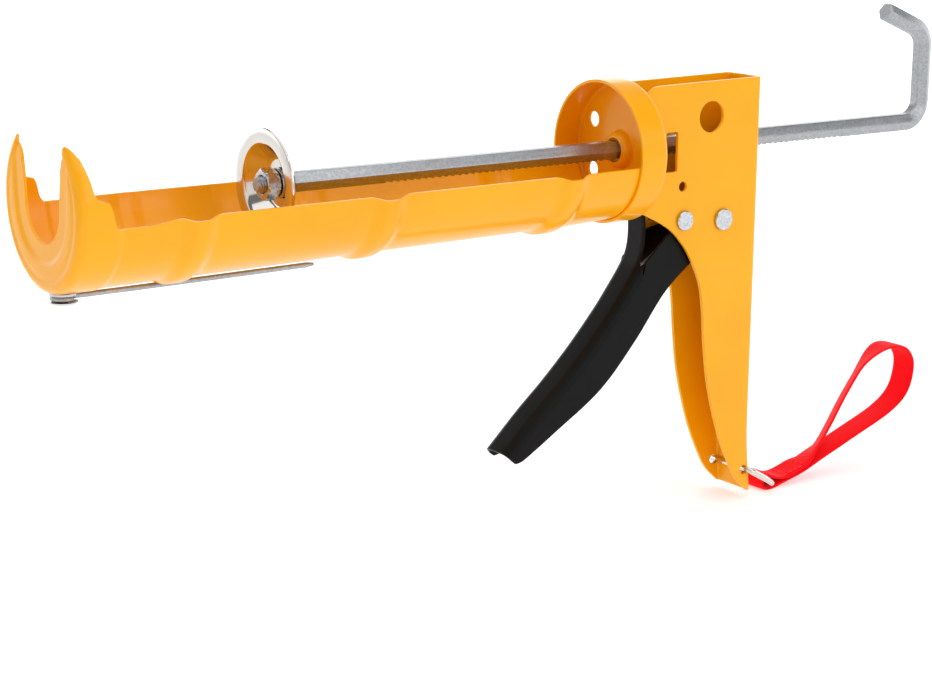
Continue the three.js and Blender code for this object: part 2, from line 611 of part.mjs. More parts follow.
function buildSealPin() {
  const headTop = eyeBottom - GAP;
  const insideHead = -(noseRadius - BARREL_WALL) + GAP + 0.5;
  const dome = arc(0, 0, 1, 0, 90, 6).map(([c, s]) => [NOSE_HEAD_RADIUS * c, headTop - 2 * s]);
  const profile = [
    [0, insideHead + 1.6], [3.6, insideHead + 1.6], [4.2, insideHead + 1], [4.2, insideHead],
    [NOSE_RIVET_RADIUS, insideHead], [NOSE_RIVET_RADIUS, headTop], ...dome,
  ];
  addPart('nose_rivet', turned(profile, LATHE_Z, 28).translate([-PIN_STATION, 0, 0]), nickelPlate);

  const hole = NOSE_RIVET_RADIUS + GAP;
  const washer = pinAlongZ(4.6, washerTop - 0.9, washerTop, -PIN_STATION)
    .subtract(pinAlongZ(hole, washerTop - 3, washerTop + 1, -PIN_STATION));
  addPart('nose_washer', washer, zincPlate);

  const middle = (eyeTop + eyeBottom) / 2;
  const eye = pinAlongZ(PIN_EYE_RADIUS, eyeBottom, eyeTop, -PIN_STATION);
  const shank = pinAlongX(PIN_RADIUS, -PIN_STATION + 3, -PIN_STATION + PIN_LENGTH - 8, 12);
  const point = new THREE.CylinderGeometry(0.25, PIN_RADIUS, 8.4, 12);
  point.rotateZ(-Math.PI / 2);
  point.translate(-PIN_STATION + PIN_LENGTH - 4.2, 0, 0);
  const pin = eye.add(shank.add(solid(point)).translate([0, 0, middle]))
    .subtract(pinAlongZ(hole, eyeBottom - 1, eyeTop + 1, -PIN_STATION));
  addPart('seal_pin', pin, zincPlate);
}

// ---------------------------------------------------------------- strap ring and strap
function ringPoint(distance, y) {
  const [x, z] = RING_PIVOT;
  return [x + distance * Math.cos(RING_SLOPE), y, z + distance * Math.sin(RING_SLOPE)];
}

function buildStrapRing() {
  const bow = (side) => [
    ringPoint(0, 0), ringPoint(0, side * (RING_HALF - 3.4)), ringPoint(0.8, side * (RING_HALF - 0.9)),
    ringPoint(3.4, side * RING_HALF), ringPoint(RING_REACH - 8, side * RING_HALF),
    ringPoint(RING_REACH - 3, side * (RING_HALF - 2)), ringPoint(RING_REACH, side * (RING_HALF - 7)),
    ringPoint(RING_REACH, 0),
  ];
  // Each half runs a little past the middle, so that the two halves join.
  const pastMiddle = (points, side) => [
    ringPoint(0, -side * 0.5), ...points.slice(1, -1), ringPoint(RING_REACH, -side * 0.5),
  ];
  const halves = [-1, 1].map((side) => swept(round(RING_WIRE, 8), pastMiddle(bow(side), side), 24, 0.5));
  addPart('strap_ring', halves[0].add(halves[1]), nickelPlate);
}

// Centre line of the strap's loop, from the seam round and back, measured from the ring's straight bar.
const STRAP_LOOP = [
  [48, -4], [57, -0.6], [66, 3], [76, 6.4], [87, 10.4], [95.6, 15.6], [100, 23.4], [99.6, 31],
  [95.4, 36.6], [89.4, 38.8], [82.6, 38], [76, 33.6], [69, 26.6], [62, 17.4], [55.4, 8], [50.4, 0.8],
  [47.4, -2.2],
];

function buildStrap() {
  const [barX, barZ] = RING_PIVOT;
  const route = STRAP_LOOP.map(([x, z]) => new THREE.Vector2(barX + x, barZ + z));
  const loop = new THREE.SplineCurve(route).getPoints(60);
  const offset = (side) => loop.map((p, i) => {
    const a = loop[Math.max(0, i - 1)], b = loop[Math.min(loop.length - 1, i + 1)];
    const n = new THREE.Vector2(b.y - a.y, a.x - b.x).normalize().multiplyScalar((side * STRAP_THICK) / 2);
    return [p.x + n.x, p.y + n.y];
  });
  const teardrop = sidePlate(outline(offset(1)), STRAP_WIDTH)
    .subtract(sidePlate(outline(offset(-1)), STRAP_WIDTH + 2));
  const [ringX, , ringZ] = ringPoint(RING_REACH, 0);
  const eyeInner = RING_WIRE + GAP + 0.2;
  const eye = pinAlongY(eyeInner + STRAP_THICK, STRAP_WIDTH, ringX, ringZ, 24);
  const doubled = smoothOutline([
    [ringX + 1, ringZ], [barX + 26, barZ - 10.4], [barX + 36, barZ - 7.8], [barX + 49, barZ - 2.8],
  ], 12);
  // Two layers stitched together, so each side stands one thickness off the middle.
  const band = outline([
    ...doubled.map(([x, z]) => [x, z - STRAP_THICK]), ...doubled.reverse().map(([x, z]) => [x, z + STRAP_THICK]),
  ]);
  const strap = teardrop.add(sidePlate(band, STRAP_WIDTH)).add(eye)
    .subtract(pinAlongY(eyeInner, STRAP_WIDTH + 2, ringX, ringZ, 20));
  addPart('wrist_strap', strap, redWebbing);
}

// ---------------------------------------------------------------- assembly
buildBarrel();
buildRearCup();
buildHandleFrame();
buildFrameFasteners();
buildTrigger();
buildPawl();
buildReturnSpring();
buildRod();
buildPiston();
buildSealPin();
buildStrapRing();
buildStrap();

const extent = new THREE.Box3().setFromObject(gun);
gun.position.set(-(extent.min.x + extent.max.x) / 2, -(extent.min.y + extent.max.y) / 2, -extent.min.z);
gun.updateMatrixWorld(true);

export default gun;
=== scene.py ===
"""Looks of a half-barrel caulking gun: pressed, folded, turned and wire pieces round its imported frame.

Shapes are worked out in millimetres from the gun's own origin, which lies on the push rod's axis
in the plane of the rear cup's rim. The nose is towards -X, the hook towards +X and the handle down.
"""
import math

import bmesh
import bpy
import numpy as np
from bpy.props import FloatProperty, FloatVectorProperty, IntProperty, PointerProperty
from mathutils import Matrix, Vector
from mathutils.geometry import delaunay_2d_cdt


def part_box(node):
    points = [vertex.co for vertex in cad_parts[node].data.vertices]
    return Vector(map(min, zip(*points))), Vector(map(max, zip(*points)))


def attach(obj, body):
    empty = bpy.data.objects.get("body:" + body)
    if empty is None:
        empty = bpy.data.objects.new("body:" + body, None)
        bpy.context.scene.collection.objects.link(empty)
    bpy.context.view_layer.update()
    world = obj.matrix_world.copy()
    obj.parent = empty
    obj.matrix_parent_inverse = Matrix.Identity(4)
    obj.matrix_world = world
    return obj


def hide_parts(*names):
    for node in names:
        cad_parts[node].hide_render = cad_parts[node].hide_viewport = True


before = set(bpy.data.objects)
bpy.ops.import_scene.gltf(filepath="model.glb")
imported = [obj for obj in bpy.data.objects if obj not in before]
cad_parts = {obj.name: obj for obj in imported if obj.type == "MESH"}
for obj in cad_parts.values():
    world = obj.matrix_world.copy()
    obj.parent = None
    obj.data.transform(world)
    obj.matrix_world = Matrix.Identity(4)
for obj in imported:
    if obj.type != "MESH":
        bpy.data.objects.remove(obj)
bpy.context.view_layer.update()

bl_info = {
    "name": "Caulking gun",
    "version": (1, 0, 0),
    "blender": (4, 5, 0),
    "location": "3D View > Sidebar > Caulking gun",
    "description": "Builds the pieces of a half-barrel caulking gun and its studio",
    "category": "Add Mesh",
}

MM = 0.001
cup_low, cup_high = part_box("rear_cup")
piston_low, piston_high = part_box("piston_disc")
ORIGIN = np.array([cup_low.x, 0.0, (piston_low.z + piston_high.z) / 2]) / MM


def node_box(name):
    """Lowest and highest corner of a frame node, in millimetres from the gun's own origin."""
    low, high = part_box(name)
    return np.array([low, high]) / MM - ORIGIN


CUP_BOX = node_box("rear_cup")
BARREL_BOX = node_box("half_barrel")
HANDLE_BOX = node_box("handle_frame")
TRIGGER_BOX = node_box("trigger")
ROD_BOX = node_box("push_rod")
PISTON_BOX = node_box("piston_disc")
HUB_SHIFT = np.array([-2.6, 0.0, 0.0])  # the nut, lock washer and disc's hub sit this far ahead of the CAD's
NUT_BOX = node_box("rod_nut") + HUB_SHIFT
LOCK_BOX = node_box("lock_washer") + HUB_SHIFT
PIVOT_BOX = node_box("pivot_rivet")
STOP_BOX = node_box("stop_rivet")
SLEEVE_BOX = node_box("pivot_sleeve")
PAWL_PIN_BOX = node_box("pawl_pin")
PAWL_BOX = node_box("drive_pawl")
NOSE_RIVET_BOX = node_box("nose_rivet")
NOSE_WASHER_BOX = node_box("nose_washer")
SEAL_PIN_BOX = node_box("seal_pin")
RING_BOX = node_box("strap_ring")


def middle(box):
    """Centre of a box."""
    return (box[0] + box[1]) / 2


def length_property(name, description, millimetres):
    """A length shown in the scene's units, with its default given in millimetres."""
    return FloatProperty(name=name, description=description, default=float(millimetres) * MM,
                         min=0.0, subtype="DISTANCE", unit="LENGTH")


def angle_property(name, description, degrees):
    """An angle, with its default given in degrees."""
    return FloatProperty(name=name, description=description, default=math.radians(degrees), subtype="ANGLE")


def linear(code):
    """An sRGB hex colour as linear red, green and blue."""
    values = [int(code[i:i + 2], 16) / 255 for i in (1, 3, 5)]
    return tuple(v / 12.92 if v <= 0.04045 else ((v + 0.055) / 1.055) ** 2.4 for v in values)


def colour_property(name, description, code):
    """A colour, with its default given as an sRGB hex code."""
    return FloatVectorProperty(name=name, description=description, default=linear(code), min=0.0, max=1.0,
                               subtype="COLOR")


class BarrelSizes(bpy.types.PropertyGroup):
    length: length_property("Length", "Cup rim to the front face of the nose", 1.2 - BARREL_BOX[0][0])
    rear: length_property("Reach", "How far the barrel runs behind the cup's rim", BARREL_BOX[1][0])
    radius: length_property("Radius", "Outside radius at the cup", 26.2)
    swell: length_property("Swell", "Extra radius that the barrel gains towards the nose", 1.9)
    nose_radius: length_property("Nose radius", "Outside radius of the nose collar", 0.9 - BARREL_BOX[0][2])
    collar: length_property("Collar", "Length of the nose collar", 14.0)
    horn_top: length_property("Horn height", "Tips of the horns above the rod's axis", BARREL_BOX[1][2])
    slot: length_property("Slot half width", "Half the width of the nozzle slot", 13.0)
    edge_drop: length_property("Edge drop", "Open edges below the rod's axis, between the beads", 3.2)
    bead_rise: length_property("Bead rise", "Height of the stiffening beads", 1.7)
    bead_half: length_property("Bead half width", "Half the width of a bead", 6.8)
    wall: length_property("Sheet", "Thickness of the barrel's sheet", 1.0)


class CupSizes(bpy.types.PropertyGroup):
    radius: length_property("Radius", "Outside radius of the rear cup", CUP_BOX[1][2])
    depth: length_property("Depth", "Rim to the outer face of the back", CUP_BOX[1][0])
    corner: length_property("Corner", "Pressed corner between wall and back", 2.4)
    hole: length_property("Hole radius", "Radius of the four holes in the back", 3.0)
    wall: length_property("Sheet", "Thickness of the cup's sheet", 1.2)


class HandleSizes(bpy.types.PropertyGroup):
    half_width: length_property("Half width", "Middle plane to the outer face of a plate", HANDLE_BOX[1][1])
    bend: length_property("Bend", "Outside radius of the folds at the back", 2.4)
    sight_hole: length_property("Spout hole radius", "Round opening through both plates", 6.15)
    small_hole: length_property("Small hole radius", "Round opening ahead of the front rivet", 1.95)
    wall: length_property("Sheet", "Thickness of the handle's sheet", 1.5)


class TriggerSizes(bpy.types.PropertyGroup):
    half_width: length_property("Half width", "Middle plane to the outer face of a side", TRIGGER_BOX[1][1])
    bend: length_property("Bend", "Outside radius of the folds along the front", 4.2)
    wall: length_property("Sheet", "Thickness of the trigger's sheet", 1.2)


class RodSizes(bpy.types.PropertyGroup):
    flats: length_property("Across flats", "Width of the hexagonal rod", 7.0)
    bend: length_property("Bend", "Radius of the hook's bends, to the middle of the rod", 9.0)
    tooth_pitch: length_property("Tooth pitch", "Distance between ratchet teeth", 3.0)
    tooth_depth: length_property("Tooth depth", "Depth of the ratchet teeth", 0.8)
    stud: length_property("Stud radius", "Radius of the threaded stud", 2.9)
    thread_pitch: length_property("Thread pitch", "Pitch of the stud's thread", 1.0)


class StrapSizes(bpy.types.PropertyGroup):
    width: length_property("Width", "Width of the webbing", 12.0)
    thickness: length_property("Thickness", "Thickness of one layer of webbing", 1.3)
    wire: length_property("Ring wire", "Wire radius of the ring", 1.3)


class Finishes(bpy.types.PropertyGroup):
    barrel: colour_property("Barrel paint", "Powder coat of the barrel, cup and handle", "#FBAB00")
    trigger: colour_property("Trigger paint", "Powder coat of the trigger", "#0C0C0C")
    zinc: colour_property("Zinc", "Bright zinc plating", "#CDD0D4")
    nickel: colour_property("Nickel", "Polished nickel plating", "#DEDAD4")
    spring: colour_property("Spring steel", "Oiled spring steel", "#85878C")
    webbing: colour_property("Webbing", "Dyed polyester webbing", "#FF0010")
    floor: colour_property("Floor", "Opal acrylic of the light table", "#EDEDED")
    floor_glow: FloatProperty(name="Floor glow", description="Light that the table gives from below",
                              default=0.36, min=0.0)
    peel: FloatProperty(name="Orange peel", description="Strength of the ripple in the powder coats",
                        default=0.05, min=0.0, max=1.0)


class StageSettings(bpy.types.PropertyGroup):
    azimuth: angle_property("Azimuth", "Turn of the camera round the gun", -35.25)
    elevation: angle_property("Elevation", "Height of the camera above the horizon", 13.51)
    roll: angle_property("Roll", "Turn of the camera about its own line of sight", 0.51)
    distance: FloatProperty(name="Distance", description="Camera to the point that it looks at",
                            default=0.82705, min=0.1, subtype="DISTANCE", unit="LENGTH")
    lens: FloatProperty(name="Lens", description="Focal length of the camera", default=85.42, unit="CAMERA")
    target: FloatVectorProperty(name="Target", description="Point that the camera looks at",
                                default=(-0.03502, 0.0, 0.07882), subtype="XYZ", unit="LENGTH")
    key: FloatProperty(name="Key light", description="Power of the large light", default=5.2, unit="POWER")
    sky: FloatProperty(name="Surround", description="Strength of the even surround", default=0.2, min=0.0)


class GunSettings(bpy.types.PropertyGroup):
    barrel: PointerProperty(type=BarrelSizes)
    cup: PointerProperty(type=CupSizes)
    handle: PointerProperty(type=HandleSizes)
    trigger: PointerProperty(type=TriggerSizes)
    rod: PointerProperty(type=RodSizes)
    strap: PointerProperty(type=StrapSizes)
    finishes: PointerProperty(type=Finishes)
    stage: PointerProperty(type=StageSettings)
    around: IntProperty(name="Segments", description="Segments round a turned piece", default=72, min=12)


# ---------------------------------------------------------------- shape helpers
def smoothstep(value, start, end):
    """0 before start, 1 after end, and a smooth S between them."""
    t = np.clip((value - start) / (end - start), 0, 1)
    return t * t * (3 - 2 * t)


def arc(centre, radius, start, end, count):
    """Points on a circular arc in a plane; angles in degrees."""
    angle = np.radians(np.linspace(start, end, count))
    return np.column_stack([centre[0] + radius * np.cos(angle), centre[1] + radius * np.sin(angle)])


def disc(centre, radius, count=32):
    """Points on a full circle."""
    return arc(centre, radius, 0, 360 * (1 - 1 / count), count)


def smooth_path(points, count, closed=False):
    """Smooth curve through points, evenly spaced: each stretch is a cubic whose end slopes are
    half the step between the neighbours on either side."""
    p = np.asarray(points, float)
    before = p[:1] if not closed else p[-1:]
    after = [p[-1:]] if not closed else [p[:2]]
    q = np.vstack([before, p, *after])
    steps = 24
    t = np.linspace(0, 1, steps, endpoint=False)[:, None]
    h = [2 * t**3 - 3 * t**2 + 1, t**3 - 2 * t**2 + t, -2 * t**3 + 3 * t**2, t**3 - t**2]
    stretches = []
    for i in range(1, len(q) - 2):
        slope_in, slope_out = (q[i + 1] - q[i - 1]) / 2, (q[i + 2] - q[i]) / 2
        stretches.append(h[0] * q[i] + h[1] * slope_in + h[2] * q[i + 1] + h[3] * slope_out)
    fine = np.vstack([*stretches, q[-2:-1]])
    travel = np.concatenate([[0], np.cumsum(np.linalg.norm(np.diff(fine, axis=0), axis=1))])
    even = np.linspace(0, travel[-1], count, endpoint=not closed)
    return np.column_stack([np.interp(even, travel, column) for column in fine.T])


def grid(points, wrap_rows=False, wrap_columns=False):
    """Quads between neighbouring points of an array of rows and columns."""
    rows, columns = points.shape[:2]
    index = np.arange(rows * columns).reshape(rows, columns)
    if wrap_rows:
        index = np.vstack([index, index[:1]])
    if wrap_columns:
        index = np.hstack([index, index[:, :1]])
    faces = np.stack([index[:-1, :-1], index[1:, :-1], index[1:, 1:], index[:-1, 1:]], -1)
    return points.reshape(-1, 3), faces.reshape(-1, 4).tolist()


def inside(points, loop):
    """Whether each point lies in a loop: a line to its right crosses the loop an odd number of times."""
    a, b = loop, np.roll(loop, -1, axis=0)
    x, y = points[:, 0, None], points[:, 1, None]
    spans = (a[:, 1] > y) != (b[:, 1] > y)
    rise = np.where(a[:, 1] == b[:, 1], 1.0, b[:, 1] - a[:, 1])
    crossing = a[:, 0] + (y - a[:, 1]) * (b[:, 0] - a[:, 0]) / rise
    return (spans & (x < crossing)).sum(1) % 2 == 1


def cut_plate(outline, holes, place):
    """Triangles inside an outline and outside its holes; place puts the flat points in space."""
    loops = [np.asarray(loop, float) for loop in [outline, *holes]]
    points = np.vstack(loops)
    edges, start = [], 0
    for loop in loops:
        index = np.arange(len(loop)) + start
        edges += np.column_stack([index, np.roll(index, -1)]).tolist()
        start += len(loop)
    found, _, faces, *_ = delaunay_2d_cdt([Vector(p) for p in points], edges, [], 0, 1e-5)
    flat = np.array([tuple(v) for v in found])
    centres = np.array([flat[list(face)].mean(0) for face in faces])
    keep = inside(centres, loops[0])
    for hole in loops[1:]:
        keep &= ~inside(centres, hole)
    return place(flat), [list(face) for face, kept in zip(faces, keep) if kept]


def lathe(profile, axis, around, place=(0, 0, 0)):
    """A profile of (radius, distance along the axis) turned about the axis through place."""
    profile = np.asarray(profile, float)
    turn = np.linspace(0, 2 * np.pi, around, endpoint=False)
    radius, along = profile[:, 0, None], np.repeat(profile[:, 1, None], around, 1)
    first, second = radius * np.cos(turn), radius * np.sin(turn)
    order = {"x": (along, first, second), "y": (first, along, second), "z": (first, second, along)}[axis]
    return grid(np.stack(order, -1) + np.asarray(place, float), wrap_columns=True)


def ends(points):
    """Fans that close the two open ends of a tube of rows."""
    rows = []
    for row in (points[0], points[-1]):
        rows.append(grid(np.stack([row, np.repeat(row.mean(0)[None], len(row), 0)]), wrap_columns=True))
    return rows


def tube(path, radius, sides=14, closed=False):
    """A round section carried along a path: each ring lies across the path's own direction.
    radius is one number or one for each point."""
    forward = np.roll(path, -1, 0) - np.roll(path, 1, 0) if closed else np.gradient(path, axis=0)
    forward /= np.linalg.norm(forward, axis=1)[:, None]
    side = np.zeros_like(path)
    guess = np.array([0.0, 1.0, 0.0]) if abs(forward[0, 1]) < 0.9 else np.array([0.0, 0.0, 1.0])
    for i, direction in enumerate(forward):
        guess = guess - direction * (guess @ direction)
        guess /= np.linalg.norm(guess)
        side[i] = guess
    up = np.cross(forward, side)
    turn = np.linspace(0, 2 * np.pi, sides, endpoint=False)
    size = np.broadcast_to(np.asarray(radius, float), len(path))[:, None, None]
    ring = side[:, None] * np.cos(turn)[:, None] + up[:, None] * np.sin(turn)[:, None]
    return path[:, None] + size * ring


def wire(path, radius, sides=14, closed=False):
    """The patches of a round wire along a path, with its ends closed."""
    rings = tube(path, radius, sides, closed)
    body = grid(rings, wrap_rows=closed, wrap_columns=True)
    return [body] if closed else [body, *ends(rings)]


def weld(name, patches, material, sharp=None):
    """Join patches into one mesh in the row frame, merge their shared points and turn faces outwards.
    Edges sharper than the angle sharp, in degrees, keep a crisp line."""
    mesh = bpy.data.meshes.new(name)
    shift, points, faces = 0, [], []
    for spots, corners in patches:
        points.append(spots)
        faces += [[i + shift for i in face] for face in corners]
        shift += len(spots)
    placed = (np.vstack(points) + ORIGIN) * MM
    mesh.from_pydata(placed.tolist(), [], faces)
    work = bmesh.new()
    work.from_mesh(mesh)
    bmesh.ops.remove_doubles(work, verts=work.verts, dist=2e-6)
    bmesh.ops.dissolve_degenerate(work, edges=work.edges, dist=1e-7)
    bmesh.ops.recalc_face_normals(work, faces=work.faces)
    heart = sum((v.co for v in work.verts), Vector()) / len(work.verts)
    if sum((f.calc_center_median() - heart).dot(f.normal) * f.calc_area() for f in work.faces) < 0:
        bmesh.ops.reverse_faces(work, faces=work.faces)
    work.to_mesh(mesh)
    work.free()
    mesh.shade_smooth()
    if sharp:
        mesh.set_sharp_from_angle(angle=math.radians(sharp))
    mesh.materials.append(material)
    piece = bpy.data.objects.new(name, mesh)
    bpy.context.scene.collection.objects.link(piece)
    return piece


def add_modifier(piece, kind, **settings):
    """Add a modifier and set its properties."""
    modifier = piece.modifiers.new(kind.title(), kind)
    for key, value in settings.items():
        setattr(modifier, key, value)


def thicken(piece, wall, edge=0.22, even=True):
    """Give a skin its sheet thickness inwards, and round the cut edges."""
    add_modifier(piece, "SOLIDIFY", thickness=wall * MM, offset=-1, use_even_offset=even)
    round_edges(piece, edge)


def round_edges(piece, edge=0.2, segments=2, angle=38):
    """Round sharp edges, and let the large faces keep their own shading."""
    add_modifier(piece, "BEVEL", width=edge * MM, segments=segments, limit_method="ANGLE",
                 angle_limit=math.radians(angle), use_clamp_overlap=False)
    add_modifier(piece, "WEIGHTED_NORMAL", mode="FACE_AREA", weight=50)


def belongs(piece, body, nodes):
    """Put a piece on its body, in the place of its frame nodes, which it hides."""
    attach(piece, body)
    if nodes:
        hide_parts(*nodes)


# ---------------------------------------------------------------- finishes
def shade(colour, factor):
    """A linear colour made darker or lighter by a factor, with full alpha."""
    return tuple(min(1.0, c * factor) for c in colour) + (1.0,)


def per_millimetre(size):
    """Texture scale for a pattern whose grain is size millimetres across."""
    return 1.0 / (size * MM)


def add_node(tree, kind, sockets=(), links=(), **settings):
    """Add a node, set its properties and sockets, and link its inputs."""
    node = tree.nodes.new(kind)
    for key, value in settings.items():
        setattr(node, key, value)
    for key, value in dict(sockets).items():
        node.inputs[key].default_value = value
    for key, source in dict(links).items():
        tree.links.new(source, node.inputs[key])
    return node


def blank_material(name):
    """An empty node material and its tree, with Object coordinates ready."""
    material = bpy.data.materials.new(name)
    material.use_nodes = True
    tree = material.node_tree
    tree.nodes.clear()
    place = add_node(tree, "ShaderNodeTexCoord").outputs["Object"]
    return material, tree, place


def finish_tree(tree, sockets, links):
    """Close a tree with its surface and output."""
    surface = add_node(tree, "ShaderNodeBsdfPrincipled", sockets, links)
    add_node(tree, "ShaderNodeOutputMaterial", links={"Surface": surface.outputs["BSDF"]})


def powder_coat(name, colour, roughness, peel, coat, shine=0.5):
    """Powder coat, sprayed and baked. It gives an even colour under a shine that ripples like orange peel."""
    material, tree, place = blank_material(name)
    drift = add_node(tree, "ShaderNodeTexNoise", {"Scale": per_millimetre(35), "Detail": 2.0},
                     {"Vector": place})
    tone = add_node(tree, "ShaderNodeValToRGB", links={"Fac": drift.outputs["Fac"]})
    low, high = tone.color_ramp.elements
    low.position, high.position = 0.3, 0.7
    low.color, high.color = shade(colour, 0.95), shade(colour, 1.04)
    grain = add_node(tree, "ShaderNodeTexNoise", {"Scale": per_millimetre(0.5), "Detail": 2.0},
                     {"Vector": place})
    gloss = add_node(tree, "ShaderNodeMapRange", {"To Min": roughness * 0.9, "To Max": roughness * 1.12},
                     {"Value": grain.outputs["Fac"]})
    ripple = add_node(tree, "ShaderNodeTexNoise", {"Scale": per_millimetre(2.2), "Detail": 1.0},
                      {"Vector": place})
    bump = add_node(tree, "ShaderNodeBump", {"Strength": peel, "Distance": 0.2 * MM},
                    {"Height": ripple.outputs["Fac"]})
    finish_tree(tree, {"IOR": 1.5, "Coat Weight": coat, "Coat Roughness": 0.06, "Metallic": 0.0,
                       "Specular IOR Level": shine},
                {"Base Color": tone.outputs["Color"], "Roughness": gloss.outputs["Result"],
                 "Normal": bump.outputs["Normal"]})
    return material


def zinc_plate(name, colour, stretch=(1, 1, 1), dimming=1.0):
    """Bright zinc plating on drawn steel. It gives a pale mirror broken up by fine spangle and draw lines.
    A dimming under 1 makes the whole finish darker and duller."""
    material, tree, place = blank_material(name)
    lined = add_node(tree, "ShaderNodeMapping", {"Scale": stretch}, {"Vector": place})
    spangle = add_node(tree, "ShaderNodeTexVoronoi", {"Scale": per_millimetre(1.1)}, {"Vector": place})
    streak = add_node(tree, "ShaderNodeTexNoise", {"Scale": per_millimetre(0.7), "Detail": 4.0},
                      {"Vector": lined.outputs["Vector"]})
    both = add_node(tree, "ShaderNodeMix", {"Factor": 0.5}, {"A": spangle.outputs["Distance"],
                    "B": streak.outputs["Fac"]}, data_type="FLOAT")
    tone = add_node(tree, "ShaderNodeValToRGB", links={"Fac": both.outputs["Result"]})
    low, high = tone.color_ramp.elements
    low.position, high.position = 0.25, 0.7
    low.color, high.color = shade(colour, 0.78 * dimming), shade(colour, 1.1 * dimming)
    gloss = add_node(tree, "ShaderNodeMapRange", {"To Min": 0.16 / dimming, "To Max": 0.34 / dimming},
                     {"Value": streak.outputs["Fac"]})
    bump = add_node(tree, "ShaderNodeBump", {"Strength": 0.22, "Distance": 0.06 * MM},
                    {"Height": both.outputs["Result"]})
    finish_tree(tree, {"Metallic": 1.0},
                {"Base Color": tone.outputs["Color"], "Roughness": gloss.outputs["Result"],
                 "Normal": bump.outputs["Normal"]})
    return material


def nickel_plate(name, colour):
    """Polished nickel plating. It gives a warm mirror with faint polishing haze."""
    material, tree, place = blank_material(name)
    haze = add_node(tree, "ShaderNodeTexNoise", {"Scale": per_millimetre(6), "Detail": 5.0},
                    {"Vector": place})
    tone = add_node(tree, "ShaderNodeValToRGB", links={"Fac": haze.outputs["Fac"]})
    low, high = tone.color_ramp.elements
    low.color, high.color = shade(colour, 0.9), shade(colour, 1.05)
    gloss = add_node(tree, "ShaderNodeMapRange", {"To Min": 0.05, "To Max": 0.16},
                     {"Value": haze.outputs["Fac"]})
    bump = add_node(tree, "ShaderNodeBump", {"Strength": 0.05, "Distance": 0.05 * MM},
                    {"Height": haze.outputs["Fac"]})
    finish_tree(tree, {"Metallic": 1.0},
                {"Base Color": tone.outputs["Color"], "Roughness": gloss.outputs["Result"],
                 "Normal": bump.outputs["Normal"]})
    return material


def spring_steel(name, colour):
    """Oiled spring steel, hardened and tempered. It gives a dull dark metal with soft stains."""
    material, tree, place = blank_material(name)
    stain = add_node(tree, "ShaderNodeTexNoise", {"Scale": per_millimetre(3), "Detail": 4.0},
                     {"Vector": place})
    tone = add_node(tree, "ShaderNodeValToRGB", links={"Fac": stain.outputs["Fac"]})
    low, high = tone.color_ramp.elements
    low.color, high.color = shade(colour, 0.7), shade(colour, 1.15)
    gloss = add_node(tree, "ShaderNodeMapRange", {"To Min": 0.28, "To Max": 0.46},
                     {"Value": stain.outputs["Fac"]})
    finish_tree(tree, {"Metallic": 1.0},
                {"Base Color": tone.outputs["Color"], "Roughness": gloss.outputs["Result"]})
    return material


def woven_webbing(name, colour):
    """Dyed polyester webbing, woven flat. It gives fine crosswise ribs and a soft sheen on a strong colour.
    The map's U runs across and V along, both in millimetres."""
    material, tree, _ = blank_material(name)
    flat = add_node(tree, "ShaderNodeUVMap", uv_map="weave").outputs["UV"]
    ribs = add_node(tree, "ShaderNodeTexWave", {"Scale": 0.32, "Distortion": 0.6, "Detail": 1.0},
                    {"Vector": flat}, wave_type="BANDS", bands_direction="Y", wave_profile="SIN")
    warp = add_node(tree, "ShaderNodeTexWave", {"Scale": 0.36, "Distortion": 0.3}, {"Vector": flat},
                    wave_type="BANDS", bands_direction="X", wave_profile="SIN")
    weave = add_node(tree, "ShaderNodeMath", {}, {0: ribs.outputs["Fac"], 1: warp.outputs["Fac"]},
                     operation="MULTIPLY")
    fuzz = add_node(tree, "ShaderNodeTexNoise", {"Scale": 2.4, "Detail": 3.0}, {"Vector": flat})
    height = add_node(tree, "ShaderNodeMix", {"Factor": 0.3},
                      {"A": weave.outputs[0], "B": fuzz.outputs["Fac"]}, data_type="FLOAT")
    tone = add_node(tree, "ShaderNodeValToRGB", links={"Fac": height.outputs["Result"]})
    low, high = tone.color_ramp.elements
    low.color, high.color = shade(colour, 0.93), shade(colour, 1.1)
    bump = add_node(tree, "ShaderNodeBump", {"Strength": 0.5, "Distance": 0.15 * MM},
                    {"Height": height.outputs["Result"]})
    finish_tree(tree, {"Roughness": 0.8, "Sheen Weight": 0.06, "Sheen Roughness": 0.4, "Metallic": 0.0,
                       "Specular IOR Level": 0.15},
                {"Base Color": tone.outputs["Color"], "Normal": bump.outputs["Normal"]})
    return material


def lit_acrylic(name, colour, glow):
    """Opal acrylic of a light table, lit from below. It gives a plain pale floor that fades to white with
    distance on the side away from the camera."""
    material, tree, place = blank_material(name)
    cloud = add_node(tree, "ShaderNodeTexNoise", {"Scale": per_millimetre(60)}, {"Vector": place})
    tone = add_node(tree, "ShaderNodeValToRGB", links={"Fac": cloud.outputs["Fac"]})
    low, high = tone.color_ramp.elements
    low.color, high.color = shade(colour, 0.995), shade(colour, 1.0)
    away = (0.577, 0.817, 0)
    reach = add_node(tree, "ShaderNodeVectorMath", {1: away}, {0: place}, operation="DOT_PRODUCT")
    lamp = add_node(tree, "ShaderNodeMapRange",
                    {"From Min": 0.4, "From Max": 1.8, "To Min": glow, "To Max": glow + 0.7},
                    {"Value": reach.outputs["Value"]})
    finish_tree(tree, {"Roughness": 0.9, "Specular IOR Level": 0.1, "Emission Color": (1, 1, 1, 1)},
                {"Base Color": tone.outputs["Color"], "Emission Strength": lamp.outputs["Result"]})
    return material


